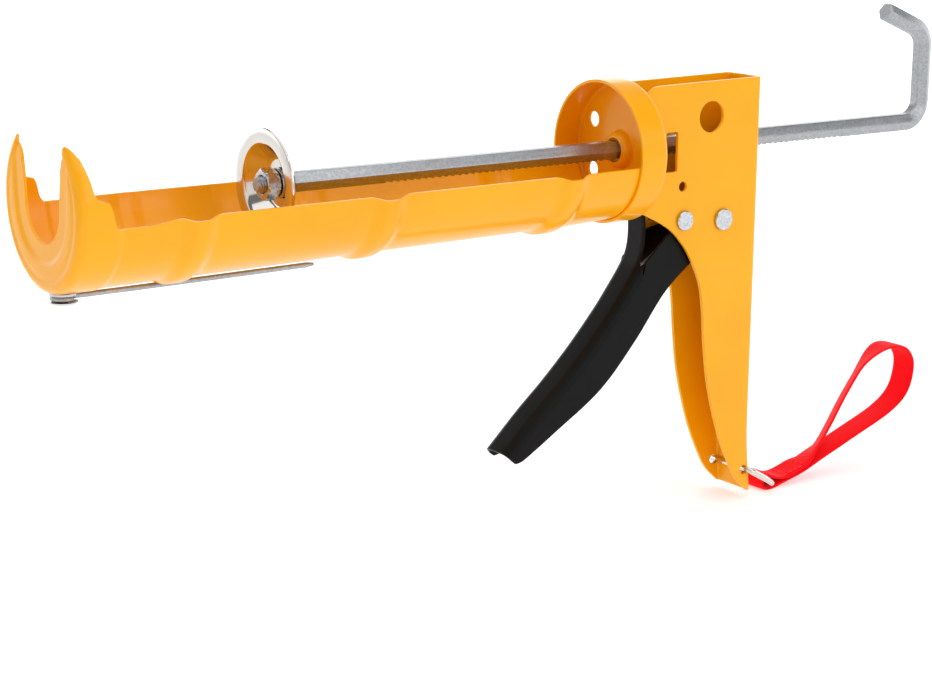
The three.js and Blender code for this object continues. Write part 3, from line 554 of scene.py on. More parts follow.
def finish_for(material, finishes):
    """A real material by its name, made the first time that it is asked for."""
    makers = {
        "orange_powder_coat": lambda name: powder_coat(name, finishes.barrel, 0.3, finishes.peel, 0.3, 0.2),
        "black_powder_coat": lambda name: powder_coat(name, finishes.trigger, 0.36, finishes.peel * 1.6, 0.0,
                                                      0.12),
        "bright_zinc_plate": lambda name: zinc_plate(name, finishes.zinc),
        "drawn_zinc_plate": lambda name: zinc_plate(name, finishes.zinc, (0.12, 1, 1), 0.66),
        "polished_nickel_plate": lambda name: nickel_plate(name, finishes.nickel),
        "oiled_spring_steel": lambda name: spring_steel(name, finishes.spring),
        "polyester_webbing": lambda name: woven_webbing(name, finishes.webbing),
        "polyester_thread": lambda name: powder_coat(name, finishes.webbing, 0.55, 0.0, 0.0),
        "opal_acrylic": lambda name: lit_acrylic(name, finishes.floor, finishes.floor_glow),
    }
    return bpy.data.materials.get(material) or makers[material](material)


# ---------------------------------------------------------------- barrel
def bead_shape(ahead, length, half):
    """Sum of the three beads: each is 1 over its flat top and falls smoothly to 0 at its half width."""
    shares = (0.808, 0.485, 0.134)
    return sum(1 - smoothstep(np.abs(ahead - share * length), 0.28 * half, half) for share in shares)


def barrel_radius(ahead, s):
    """Outer radius at a distance ahead of the cup: a slow swell, three beads, and the collar's step."""
    start = s["length"] - s["collar"]
    radius = s["radius"] + s["swell"] * np.clip(ahead / start, 0, 1) + 0.5 * smoothstep(ahead, 0, 25)
    radius += s["bead_rise"] * bead_shape(ahead, s["length"], s["bead_half"])
    return radius + (s["nose_radius"] - radius) * smoothstep(ahead, start - 2.6, start - 0.2)


def barrel_edge_height(ahead, s, dip=1.0):
    """Height of the open edge: level, dipping at the beads, then up a shoulder and the horn at the nose.
    dip scales the dips."""
    dips = 1.5 * bead_shape(ahead, s["length"], 8.0) + 1.7 * smoothstep(ahead, 190, 206)
    shoulder = np.interp(s["length"] - ahead, (3.4, 4.3, 5.4, 5.9, 6.4, 7.2, 8.6, 11.0, 12.0, 12.8, 14.2),
                         (24.2, 21.0, 16.2, 12.8, 11.3, 10.4, 9.8, 8.9, 6.4, 2.0, 0.0))
    return shoulder - s["edge_drop"] - dip * dips


def nose_slot(share, s):
    """Edge of the nozzle slot, (y, z) at a share from -1 to 1: a half circle with splayed straight sides."""
    centre, top, splay = 0.6, s["horn_top"] - 7.4, 1.9
    side = math.hypot(top - centre, splay)
    bottom = np.pi / 2 * s["slot"]
    along = np.abs(share) * (side + bottom)
    angle = np.clip(along / s["slot"], 0, np.pi / 2)
    rise = np.clip((along - bottom) / side, 0, 1)
    y = s["slot"] * np.sin(angle) + splay * rise**1.5
    z = centre - s["slot"] * np.cos(angle) + (top - centre) * rise
    return np.stack([np.sign(share) * y, z], -1)


def round_row(ahead, radius, turn):
    """A row across the trough, at angles from its lowest line: (x, R sin a, -R cos a)."""
    return np.stack([np.full_like(turn, -ahead), radius * np.sin(turn), -radius * np.cos(turn)], -1)


def barrel_skin(s):
    """Outer skin of the barrel as one surface of (way along, way round): down the barrel, over the nose's
    rolled edge, and in over its face to the slot. Barrel and roll: (x, R sin a, -R cos a) with a up to the
    open edge, which dips more on the near side. Face: from the roll to the slot's edge, with rounded horns
    and a U-shaped step on the way."""
    roll = 3.4
    share = np.linspace(-1, 1, 97)
    body = np.concatenate([np.arange(-s["rear"], s["length"] - s["collar"] - 4, 1.3),
                           np.arange(s["length"] - s["collar"] - 4, s["length"] - roll, 0.45)])
    rows = []
    for ahead, radius in zip(body, barrel_radius(body, s)):
        straight = 0.2 + 0.8 * smoothstep(ahead, 212, 226)
        near, far = (math.acos(np.clip(-barrel_edge_height(ahead, s, dip) / radius, -1, 1))
                     for dip in (1, straight))
        rows.append(round_row(ahead, radius, share * np.where(share < 0, near, far)))
    tilt = np.linspace(0, 90, 13)
    below_tip = np.interp(tilt, (0, 15, 30, 45, 60, 75, 90), (3.4, 1.6, 0.5, 0.0, 0.5, 1.7, 3.3))
    for angle, below in zip(np.radians(tilt), below_tip):
        ahead = s["length"] - roll + roll * math.sin(angle)
        radius = s["nose_radius"] - roll + roll * math.cos(angle)
        rows.append(round_row(ahead, radius, share * math.acos((below - s["horn_top"]) / radius)))
    rim, slot = rows[-1][:, 1:], nose_slot(share, s)
    for w in np.linspace(0, 1, 19)[1:]:
        flat = rim * (1 - w) + slot * w
        flat[:, 1] += 4.0 * (w - 1 + math.sqrt(max(1 - w * w, 0))) * np.abs(share) ** 14
        reach = np.linalg.norm(flat - slot, axis=1)
        step = 0.8 * (1 - smoothstep(reach, 5.4, 7.2)) * smoothstep(reach, -3, 0.5)
        groove = 0.35 * np.exp(-((w - 0.1) / 0.07) ** 2)
        rows.append(np.column_stack([-s["length"] + step + groove, flat]))
    return grid(np.array(rows))


# ---------------------------------------------------------------- rear cup
def cup_skin(s, around):
    """Outer skin of the cup: the drawn collar and the cornered wall are turned profiles, and the flat
    back between them is a ring with four round holes."""
    flat, collar = s["radius"] - s["corner"], 8.8
    holes = [disc((y, z), s["hole"], 28) for y in (-17.4, 17.4) for z in (-9.8, 9.8)]
    back = cut_plate(disc((0, 0), flat, around), [disc((0, 0), collar, around), *holes],
                     lambda p: np.column_stack([np.full(len(p), s["depth"]), p]))
    corner = arc((flat, s["depth"] - s["corner"]), s["corner"], 90, 0, 9)
    wall = np.column_stack([np.full(8, s["radius"]), np.linspace(s["depth"] - s["corner"], 0, 9)[1:]])
    drawn = [(collar, 0), (7.6, 0.1), (6.8, 0.5), (6.3, 1.2), (6.0, 2.2), (5.8, 3.2), (5.3, 3.9), (4.4, 4.2)]
    inward = [(radius, s["depth"] - drop) for radius, drop in drawn]
    return [back, lathe(np.vstack([corner, wall]), "x", around), lathe(inward, "x", around)]


# ---------------------------------------------------------------- folded channels
def fold(spine, inward, half_width, bend, turn=None, steps=9):
    """Web and both folds of a channel, as rows along the spine: across, the skin turns through an angle a
    round each fold, y = +-(h - r + r sin a), depth = r (1 - cos a) along the inward direction."""
    turn = np.full(len(spine), np.pi / 2) if turn is None else turn
    angle = turn[:, None] * np.linspace(1, 0, steps)
    side = half_width - bend + bend * np.sin(angle)
    depth = bend * (1 - np.cos(angle))
    y = np.hstack([-side, side[:, ::-1]])
    depth = np.hstack([depth, depth[:, ::-1]])
    place = spine[:, None] + inward[:, None] * depth[..., None]
    return grid(np.stack([place[..., 0], y, place[..., 1]], -1))


def across_line(spine, side):
    """Unit directions square to a line, to its left or right."""
    along = np.gradient(spine, axis=0)
    along /= np.linalg.norm(along, axis=1)[:, None]
    return side * np.column_stack([-along[:, 1], along[:, 0]])


def channel(spine, inward, rest, holes, half_width, bend):
    """A folded channel: the web along the spine, and two plates that share the folds' inner lines."""
    line = spine + inward * bend
    outline = np.vstack([line, rest])
    plates = []
    for y in (-half_width, half_width):
        plates.append(cut_plate(outline, holes,
                                lambda p, y=y: np.column_stack([p[:, 0], np.full(len(p), y), p[:, 1]])))
    return [fold(spine, inward, half_width, bend), *plates]


def handle_front():
    """Front edge of the side plates, from the top corner down behind the cup and along the grip."""
    front = CUP_BOX[1][0] + 0.3
    top = HANDLE_BOX[1][2]
    corner = arc((front + 9, top - 9.8), 9.0, 90, 172, 9)
    grip = [(front, 4.1 - CUP_BOX[1][2]), (27.8, -30.8), (35.8, -38.2), (41.2, -46.2), (45.5, -55.6),
            (47.4, -66), (48.8, -80), (51.6, -97.4), (57.8, -118), (65.2, -134), (69, -139.8)]
    return np.vstack([corner, [(front, 12.0)], smooth_path(grip, 70)])


WEB_BACK = 74.8  # outer face of the handle's rear web
RING_BAR = (74.0, -136.0)  # middle of the ring's straight bar


def handle_skin(s):
    """The handle's channel: the web runs straight down the back and kicks out at its end."""
    top, bottom = HANDLE_BOX[1][2], HANDLE_BOX[0][2]
    z = np.linspace(bottom, top, 90)
    kick = 3.4 * smoothstep(-z, 112, -bottom + 14) ** 1.3
    spine = np.column_stack([WEB_BACK + kick, z])
    inward = np.tile([-1.0, 0.0], (len(z), 1))
    pivot, stop = middle(PIVOT_BOX)[[0, 2]], middle(STOP_BOX)[[0, 2]]
    slot = np.vstack([arc((26.7, -8.4), 0.7, 180, 270, 4), arc((31.1, -8.4), 0.7, 270, 360, 4),
                      arc((31.1, 5.7), 0.7, 0, 90, 4), arc((26.7, 5.7), 0.7, 90, 180, 4)])
    holes = [disc((48.7, 11.1), s["sight_hole"], 48), disc((35, -15.2), s["small_hole"], 24),
             disc(pivot, 3.3, 24), disc(stop, 3.3, 24), disc((RING_BAR[0] - 1.6, RING_BAR[1]), 1.9, 20), slot]
    return channel(spine, inward, handle_front(), holes, s["half_width"], s["bend"])


# ---------------------------------------------------------------- trigger
# The trigger's front line from the finger end up, its tongue behind the cup, and its rear line down again.
TRIGGER_FRONT = [(-46.7, -111.4), (-33, -98.4), (-20.6, -87.6), (-8, -75.4), (3.5, -62.8), (10.2, -54.4),
                 (14.6, -48.6)]
TRIGGER_TONGUE = [(17.4, -44.2), (19.2, -39.0), (19.8, -33), (19.5, -24)]
TRIGGER_REAR = [(42.3, -46.4), (29, -57.4), (14.8, -75.0), (-2, -92.2), (-24.4, -106.4), (-34, -112.2),
                (-39, -115.0), (-42.2, -115.7)]


def trigger_skin(s):
    """The trigger's pressed skin: web and folds along the front, with two side plates. Past the plates the
    folds open out and the web runs on as the tongue behind the cup."""
    spine = smooth_path(TRIGGER_FRONT + TRIGGER_TONGUE, 110)
    plated = int(np.argmin(np.linalg.norm(spine - TRIGGER_FRONT[-1], axis=1))) + 1
    travel = np.concatenate([[0], np.cumsum(np.linalg.norm(np.diff(spine, axis=0), axis=1))])
    past = travel - travel[plated - 1]
    turn = np.pi / 2 * (1 - 0.75 * smoothstep(past, 0.0, 7.0))
    inward = across_line(spine, -1)
    pivot, pin = middle(PIVOT_BOX)[[0, 2]], middle(PAWL_PIN_BOX)[[0, 2]]
    step = [(19.5, -44.0), (30.4, -34.2), (36, -33.2), (40.6, -32.2), (44.6, -28.6), (50.6, -24)]
    rest = np.vstack([step, arc(pin, 5.4, 170, 0, 14), arc(pivot, 8.4, 0, -105, 14),
                      smooth_path(TRIGGER_REAR, 70)])
    holes = [disc(pivot, 5.1), disc(pin, 2.3, 20)]
    patches = channel(spine[:plated], inward[:plated], rest, holes, s["half_width"], s["bend"])
    return [fold(spine, inward, s["half_width"], s["bend"], turn), *patches[1:]]


# ---------------------------------------------------------------- push rod
def hexagon(apothem, angle, sharpness):
    """Radius of a hexagon with slightly rounded corners at an angle: apothem over the p-norm of the
    cosines to its six flats."""
    flats = np.radians(np.arange(30, 390, 60))
    cosines = np.clip(np.cos(angle[:, None] - flats), 0, None)
    return apothem / (cosines**sharpness).sum(1) ** (1 / sharpness)


SHOULDER = -136.1 + HUB_SHIFT[0]  # where the stud meets the hexagonal shaft
TOOTHED = (-98.0, 128.0)  # the shaft's toothed stretch
HOOK_TOP, HOOK_TIP = 31.6, (151.0, 47.0)  # height where the hook's upper bend starts, and the hook's end


def rod_rows(s):
    """Rows of the whole rod: threaded stud, shoulder, toothed hexagonal shaft, and hook. A row lies across
    its path; below the shaft, points stand no lower than the saw-tooth line."""
    angle = np.linspace(0, 2 * np.pi, 48, endpoint=False)
    ring = np.column_stack([np.cos(angle), np.sin(angle)])
    hexa = ring * hexagon(s["flats"] / 2, angle, 26)[:, None]
    front = ROD_BOX[0][0] + HUB_SHIFT[0]
    stations, sections = [], []

    def add(x, section):
        stations.append((x, 0.0, 0.0, 1.0))
        sections.append(section)

    add(front, ring * 0)
    add(front, ring * (s["stud"] - 0.8))
    for x in np.arange(front + 0.7, SHOULDER - 0.05, s["thread_pitch"] / 6):
        phase = (x / s["thread_pitch"] - angle / (2 * np.pi)) % 1.0
        add(x, ring * (s["stud"] - np.abs(phase - 0.5))[:, None])
    add(SHOULDER, ring * (s["stud"] - 0.2))
    add(SHOULDER, hexa * 0.93)
    add(SHOULDER + 0.5, hexa)
    for x in np.arange(*TOOTHED, s["tooth_pitch"]):
        add(x, hexa)
        cut = hexa.copy()
        cut[:, 1] = np.maximum(cut[:, 1], -s["flats"] / 2 + s["tooth_depth"])
        add(x + 0.3 * s["tooth_pitch"], cut)
    add(TOOTHED[1], hexa)
    hook = ROD_BOX[1][0] - s["flats"] / 2
    route = np.vstack([arc((hook - s["bend"], s["bend"]), s["bend"], -90, 0, 17),
                       arc((hook - s["bend"], HOOK_TOP), s["bend"], 0, 66, 13)])
    along = np.vstack([arc((0, 0), 1, 0, 90, 17), arc((0, 0), 1, 90, 156, 13)])
    for (x, z), (tx, tz) in zip(route, along):
        stations.append((x, z, tx, tz))
        sections.append(hexa)
    last = np.array(HOOK_TIP) - route[-1]
    last /= np.linalg.norm(last)
    for back, size in ((0.7, 1.0), (0.0, 0.86), (0.0, 0.01)):
        x, z = np.array(HOOK_TIP) - last * back
        stations.append((x, z, last[0], last[1]))
        sections.append(hexa * size)
    return np.array(stations), np.array(sections)


def rod_skin(s):
    """Each row: path point + section's z along the upward normal, and the section's y across."""
    stations, sections = rod_rows(s)
    place, direction = stations[:, :2], stations[:, 2:].copy()
    straight = (direction[:, 0] == 0.0) & (place[:, 1] == 0.0)
    direction[straight] = (1.0, 0.0)
    x = place[:, 0, None] - direction[:, 1, None] * sections[..., 1]
    z = place[:, 1, None] + direction[:, 0, None] * sections[..., 1]
    return grid(np.stack([x, sections[..., 0], z], -1), wrap_columns=True)


# ---------------------------------------------------------------- rod end
def nut_skin(box, bore):
    """Hexagon nut about X: the radius is the least of the hexagon and a cone that chamfers each face."""
    front, rear = box[0][0], box[1][0]
    angle = np.linspace(0, 2 * np.pi, 72, endpoint=False)
    shape = hexagon(5.0, angle - 0.25, 60)
    rows = []
    for x, cone in ((front, 4.75), (front + 0.25, 5.15), (front + 0.6, 5.9), (rear - 0.6, 5.9),
                    (rear - 0.25, 5.15), (rear, 4.75), (rear, bore + 0.4), (rear - 0.4, bore),
                    (front + 0.4, bore), (front, bore + 0.4)):
        radius = np.minimum(shape, cone)
        rows.append(np.column_stack([np.full_like(angle, x), radius * np.cos(angle), radius * np.sin(angle)]))
    return [grid(np.array(rows), wrap_rows=True, wrap_columns=True)]


def split_ring(box, bore):
    """Split spring washer: a square section carried 346 degrees round the stud, its ends apart by a step."""
    low, high = box[0][0], box[1][0]
    outer = (box[1][2] - box[0][2]) / 2
    turn = np.radians(np.linspace(7, 353, 60))
    lean = np.linspace(-0.12, 0.12, len(turn))
    rows = []
    for angle, shift in zip(turn, lean):
        corners = [(low + 0.15, bore), (low + 0.15, outer), (high - 0.15, outer), (high - 0.15, bore)]
        rows.append([(x + shift, r * math.cos(angle), r * math.sin(angle)) for x, r in corners])
    rows = np.array(rows)
    return [grid(rows, wrap_columns=True), *ends(rows)]


def piston_profile(box):
    """Section of the pressed disc: flat outer ring, dished slope and hub, as a thin closed loop."""
    ring, hub = box[0][0], box[1][0] - 1.2 + HUB_SHIFT[0]
    radius, bore, sheet = box[1][2], 3.2, 1.2
    face = [(bore, hub), (8.2, hub), (8.9, hub - 0.25), (9.5, hub - 0.9), (13.4, ring + 1.3),
            (14.1, ring + 0.35), (14.9, ring), (radius - 0.5, ring), (radius - 0.12, ring + 0.15),
            (radius, ring + 0.6)]
    back = [(radius - 0.12, ring + sheet - 0.15), (radius - 0.5, ring + sheet), (15.2, ring + sheet),
            (14.6, ring + sheet + 0.3), (13.9, ring + sheet + 1.2), (10.1, hub + 0.3),
            (9.2, hub + sheet - 0.1), (8.4, hub + sheet), (bore, hub + sheet)]
    return face + back + face[:1]


# ---------------------------------------------------------------- strap
# Middle of the webbing: round the ring, along the lower branch, round the loop's end and back above.
STRAP_ROUTE = [(95, 0, -144.3), (90.8, 0, -142.6), (87.9, 0, -144.6), (88.5, 0, -147.6), (92.0, 0, -148.6),
               (100, 0, -146.8), (111, 0, -144.0), (122, 0, -139.8), (140, 0, -133.2), (161, 0, -125.2),
               (171, 0, -117.4), (173.8, 0, -106), (170, 0, -99), (163.4, 0, -96.8), (156.6, 0, -98),
               (149, 0, -103.0), (143, 0, -109.4), (136, 0, -118.6), (129.6, 0, -128.0), (124.0, 0, -135.0),
               (117, 0, -140.2), (109, 0, -143.1), (101, 0, -145.1)]


def strap_rows(s):
    """Rows of the webbing round its closed route: a flat rounded section, width across and thickness along
    the normal. On the upper branch the width turns away from across the gun."""
    count = 420
    route = smooth_path(STRAP_ROUTE, count, closed=True)
    travel = np.concatenate([[0], np.cumsum(np.linalg.norm(np.diff(route, axis=0), axis=1))])
    share = travel / travel[-1]
    twist = smoothstep(share, 0.585, 0.70) * (1 - smoothstep(share, 0.86, 0.93))
    wanted = np.column_stack([0.56 * twist, np.ones(count) * (1 - 0.1 * twist), -0.35 * twist])
    along = np.roll(route, -1, 0) - np.roll(route, 1, 0)
    along /= np.linalg.norm(along, axis=1)[:, None]
    width = wanted - along * (wanted * along).sum(1)[:, None]
    width /= np.linalg.norm(width, axis=1)[:, None]
    normal = np.cross(along, width)
    angle = np.linspace(0, 2 * np.pi, 28, endpoint=False)
    flat = np.sign(np.cos(angle)) * np.abs(np.cos(angle)) ** 0.35 * s["width"] / 2
    thick = np.sign(np.sin(angle)) * np.abs(np.sin(angle)) ** 0.7 * s["thickness"] / 2
    rows = route[:, None] + width[:, None] * flat[None, :, None] + normal[:, None] * thick[None, :, None]
    return rows, flat, travel


def weave_map(mesh, rows, flat, travel):
    """Lay the weave's map on the webbing: U across and V along, in millimetres."""
    layer = mesh.uv_layers.new(name="weave")
    count, sides = rows.shape[:2]
    corners = np.zeros(len(mesh.loops), int)
    mesh.loops.foreach_get("vertex_index", corners)
    row, side = corners // sides, corners % sides
    along = travel[row]
    starts = np.zeros(len(mesh.polygons), int)
    mesh.polygons.foreach_get("loop_start", starts)
    last = (row.reshape(-1, 4) == count - 1).any(1) & (row.reshape(-1, 4) == 0).any(1)
    along = along.reshape(-1, 4)
    along[last] = np.where(along[last] == 0, travel[-1] + travel[1], along[last])
    layer.data.foreach_set("uv", np.column_stack([flat[side], along.ravel()]).astype(np.float32).ravel())


def stitches(s):
    """Box stitch through the doubled webbing: short raised threads, each a stretched round bead."""
    heel, toe, edge = 102.0, 112.0, s["width"] / 2 - 1.6
    slope = math.atan2(2.0, 8.0)
    places = []
    for y in (-edge, edge):
        places += [(x, y, 0.0) for x in np.arange(heel, toe, 2.6)]
    for x in (heel, toe):
        places += [(x, y, 90.0) for y in np.arange(-edge + 1.3, edge, 2.6)]
    angle = np.linspace(0, 2 * np.pi, 6, endpoint=False)
    reach = np.array([-1.0, -0.7, 0.0, 0.7, 1.0])
    size = np.array([0.05, 0.26, 0.34, 0.26, 0.05])
    bead = np.stack([np.repeat(reach[:, None], 6, 1), size[:, None] * np.cos(angle),
                     size[:, None] * np.sin(angle)], -1)
    patches = []
    for x, y, turn in places:
        height = np.interp(x, (101, 109, 117), (-144.5, -142.5, -139.6))
        lie = Matrix.Rotation(-slope, 3, "Y") @ Matrix.Rotation(math.radians(turn), 3, "Z")
        place = bead @ np.array(lie).T + (x, y, height)
        patches += [grid(place, wrap_columns=True), *ends(place)]
    return patches


# ---------------------------------------------------------------- operators
def in_millimetres(group):
    """The lengths of a property group as a plain dict in millimetres."""
    names = [key for key in group.__annotations__ if isinstance(getattr(group, key), float)]
    return {key: getattr(group, key) / MM for key in names}


class GUN_OT_barrel(bpy.types.Operator):
    """Press the half barrel, with its beads, nose and slot"""
    bl_idname = "gun.barrel"
    bl_label = "Half barrel"

    def execute(self, context):
        gun = context.scene.caulking_gun
        sizes = in_millimetres(gun.barrel)
        piece = weld("barrel_pressing", [barrel_skin(sizes)], finish_for("orange_powder_coat", gun.finishes))
        thicken(piece, sizes["wall"], 0.12, even=False)
        belongs(piece, "frame", ["half_barrel"])
        return {"FINISHED"}


class GUN_OT_cup(bpy.types.Operator):
    """Draw the rear cup, with its collar and holes"""
    bl_idname = "gun.cup"
    bl_label = "Rear cup"

    def execute(self, context):
        gun = context.scene.caulking_gun
        sizes = in_millimetres(gun.cup)
        paint = finish_for("orange_powder_coat", gun.finishes)
        piece = weld("cup_pressing", cup_skin(sizes, gun.around), paint)
        thicken(piece, sizes["wall"])
        belongs(piece, "frame", ["rear_cup"])
        return {"FINISHED"}


class GUN_OT_handle(bpy.types.Operator):
    """Fold the handle's channel"""
    bl_idname = "gun.handle"
    bl_label = "Handle"

    def execute(self, context):
        gun = context.scene.caulking_gun
        sizes = in_millimetres(gun.handle)
        piece = weld("handle_channel", handle_skin(sizes), finish_for("orange_powder_coat", gun.finishes))
        thicken(piece, sizes["wall"], 0.25)
        belongs(piece, "frame", ["handle_frame"])
        return {"FINISHED"}


class GUN_OT_rivets(bpy.types.Operator):
    """Turn the two frame rivets and the sleeve that the trigger turns on"""
    bl_idname = "gun.rivets"
    bl_label = "Frame rivets"

    def execute(self, context):
        gun = context.scene.caulking_gun
        zinc = finish_for("bright_zinc_plate", gun.finishes)
        for name, node, box in (("pivot_rivet_turned", "pivot_rivet", PIVOT_BOX),
                                ("stop_rivet_turned", "stop_rivet", STOP_BOX)):
            head, end, centre = (box[1][0] - box[0][0]) / 2, box[1][1], middle(box)
            half = end - 1.3
            side = [(0, end - 0.12), (head * 0.45, end - 0.1), (head * 0.8, end), (head - 0.25, end - 0.14),
                    (head, end - 0.5), (head, half), (3.0, half)]
            profile = side + [(r, -along) for r, along in side[::-1]]
            piece = weld(name, [lathe(profile, "y", 48, (centre[0], 0, centre[2]))], zinc)
            round_edges(piece, 0.12)
            belongs(piece, "frame", [node])
        radius, half, centre = (SLEEVE_BOX[1][0] - SLEEVE_BOX[0][0]) / 2, SLEEVE_BOX[1][1], middle(SLEEVE_BOX)
        bore = radius - 1.5
        loop = [(bore, -half), (radius, -half), (radius, half), (bore, half), (bore, -half)]
        sleeve = weld("pivot_sleeve_turned", [lathe(loop, "y", 48, (centre[0], 0, centre[2]))], zinc)
        round_edges(sleeve, 0.15)
        belongs(sleeve, "frame", ["pivot_sleeve"])
        return {"FINISHED"}


class GUN_OT_trigger(bpy.types.Operator):
    """Fold the trigger"""
    bl_idname = "gun.trigger"
    bl_label = "Trigger"

    def execute(self, context):
        gun = context.scene.caulking_gun
        sizes = in_millimetres(gun.trigger)
        piece = weld("trigger_channel", trigger_skin(sizes), finish_for("black_powder_coat", gun.finishes))
        thicken(piece, sizes["wall"], 0.2)
        belongs(piece, "trigger", ["trigger"])
        return {"FINISHED"}


class GUN_OT_ratchet(bpy.types.Operator):
    """Give the hidden pawl, its pin and both springs their steel"""
    bl_idname = "gun.ratchet"
    bl_label = "Ratchet"

    def execute(self, context):
        gun = context.scene.caulking_gun
        for node, name in (("drive_pawl", "oiled_spring_steel"), ("pawl_spring", "oiled_spring_steel"),
                           ("return_spring", "oiled_spring_steel"), ("pawl_pin", "bright_zinc_plate")):
            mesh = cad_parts[node].data
            mesh.materials.clear()
            mesh.materials.append(finish_for(name, gun.finishes))
        return {"FINISHED"}


class GUN_OT_rod(bpy.types.Operator):
    """Draw the hexagonal rod, cut its teeth and bend its hook"""
    bl_idname = "gun.rod"
    bl_label = "Push rod"

    def execute(self, context):
        gun = context.scene.caulking_gun
        sizes = in_millimetres(gun.rod)
        piece = weld("push_rod_bar", [rod_skin(sizes)], finish_for("drawn_zinc_plate", gun.finishes), 40)
        belongs(piece, "rod", ["push_rod"])
        zinc = finish_for("bright_zinc_plate", gun.finishes)
        nut = weld("rod_nut_hex", nut_skin(NUT_BOX, sizes["stud"] + 0.2), zinc, 25)
        belongs(nut, "rod", ["rod_nut"])
        washer = weld("lock_washer_split", split_ring(LOCK_BOX, sizes["stud"] + 0.3), zinc)
        round_edges(washer, 0.12)
        belongs(washer, "rod", ["lock_washer"])
        return {"FINISHED"}


class GUN_OT_piston(bpy.types.Operator):
    """Press the piston disc"""
    bl_idname = "gun.piston"
    bl_label = "Piston"

    def execute(self, context):
        gun = context.scene.caulking_gun
        piece = weld("piston_plate", [lathe(piston_profile(PISTON_BOX), "x", 96)],
                     finish_for("polished_nickel_plate", gun.finishes), 60)
        belongs(piece, "piston", ["piston_disc"])
        return {"FINISHED"}


class GUN_OT_seal_pin(bpy.types.Operator):
    """Make the nose rivet, its washer and the seal-piercing pin"""
    bl_idname = "gun.seal_pin"
    bl_label = "Seal pin"

    def execute(self, context):
        gun = context.scene.caulking_gun
        nickel = finish_for("polished_nickel_plate", gun.finishes)
        zinc = finish_for("bright_zinc_plate", gun.finishes)
        x, top, bottom = middle(NOSE_RIVET_BOX)[0], NOSE_RIVET_BOX[1][2], NOSE_RIVET_BOX[0][2] + 0.8
        head = SEAL_PIN_BOX[0][2] + 0.1
        dome = arc((0, 0), 1.0, 0, 90, 12) * (5.0, bottom - head) + (0, head)
        profile = [(0, top), (3.4, top), (3.9, top - 0.2), (4.2, top - 0.7), (4.2, top - 1.5),
                   (2.4, top - 1.6), (2.4, head), (4.8, head), *dome]
        rivet = weld("nose_rivet_turned", [lathe(profile, "z", 48, (x, 0, 0))], nickel, 40)
        belongs(rivet, "frame", ["nose_rivet"])
        low, high = NOSE_WASHER_BOX[0][2] - 0.5, NOSE_WASHER_BOX[1][2] - 0.5
        loop = [(2.7, low), (4.6, low), (4.6, high), (2.7, high), (2.7, low)]
        washer = weld("nose_washer_turned", [lathe(loop, "z", 48, (x, 0, 0))], zinc)
        round_edges(washer, 0.12)
        belongs(washer, "frame", ["nose_washer"])
        height, radius = middle(SEAL_PIN_BOX)[2], 0.95
        eye = arc((x, 0), 2.5 + radius, 300, 20, 40)
        tip = SEAL_PIN_BOX[1][0]
        shank = np.column_stack([np.linspace(x + 5.0, tip, 60), np.linspace(1.0, 0, 60) ** 3 * eye[-1][1]])
        flat = np.vstack([eye, shank])
        path = np.column_stack([flat, np.interp(flat[:, 0], (x + 5, tip), (height, height + 1.0))])
        size = np.interp(path[:, 0], (tip - 2.6, tip), (radius, 0.5))
        size[:len(eye)] = radius
        pin = weld("seal_pin_wire", wire(path, size, 16), finish_for("drawn_zinc_plate", gun.finishes))
        belongs(pin, "seal_pin", ["seal_pin"])
        return {"FINISHED"}


class GUN_OT_strap(bpy.types.Operator):
    """Bend the ring and lay the wrist strap through it"""
    bl_idname = "gun.strap"
    bl_label = "Ring and strap"

    def execute(self, context):
        gun = context.scene.caulking_gun
        sizes = in_millimetres(gun.strap)
        slope = math.radians(-30)
        half, reach = RING_BOX[1][1] - sizes["wire"], 19.0
        side = [(0, 0), (0, half - 3.4), (0.8, half - 0.9), (3.4, half), (reach - 8, half),
                (reach - 3, half - 2), (reach, half - 7), (reach, 0)]
        bow = np.array(side + [(d, -y) for d, y in side[-2:0:-1]], float)
        route = np.column_stack([RING_BAR[0] + bow[:, 0] * math.cos(slope), bow[:, 1],
                                 RING_BAR[1] + bow[:, 0] * math.sin(slope)])
        route = smooth_path(route, 120, closed=True)
        ring = weld("strap_ring_wire", wire(route, sizes["wire"], 16, closed=True),
                    finish_for("polished_nickel_plate", gun.finishes))
        belongs(ring, "ring", ["strap_ring"])
        rows, flat, travel = strap_rows(sizes)
        band = weld("wrist_strap_webbing", [grid(rows, wrap_rows=True, wrap_columns=True)],
                    finish_for("polyester_webbing", gun.finishes))
        weave_map(band.data, rows, flat, travel)
        belongs(band, "strap", ["wrist_strap"])
        thread = weld("strap_stitches", stitches(sizes), finish_for("polyester_thread", gun.finishes))
        belongs(thread, "strap", [])
        return {"FINISHED"}


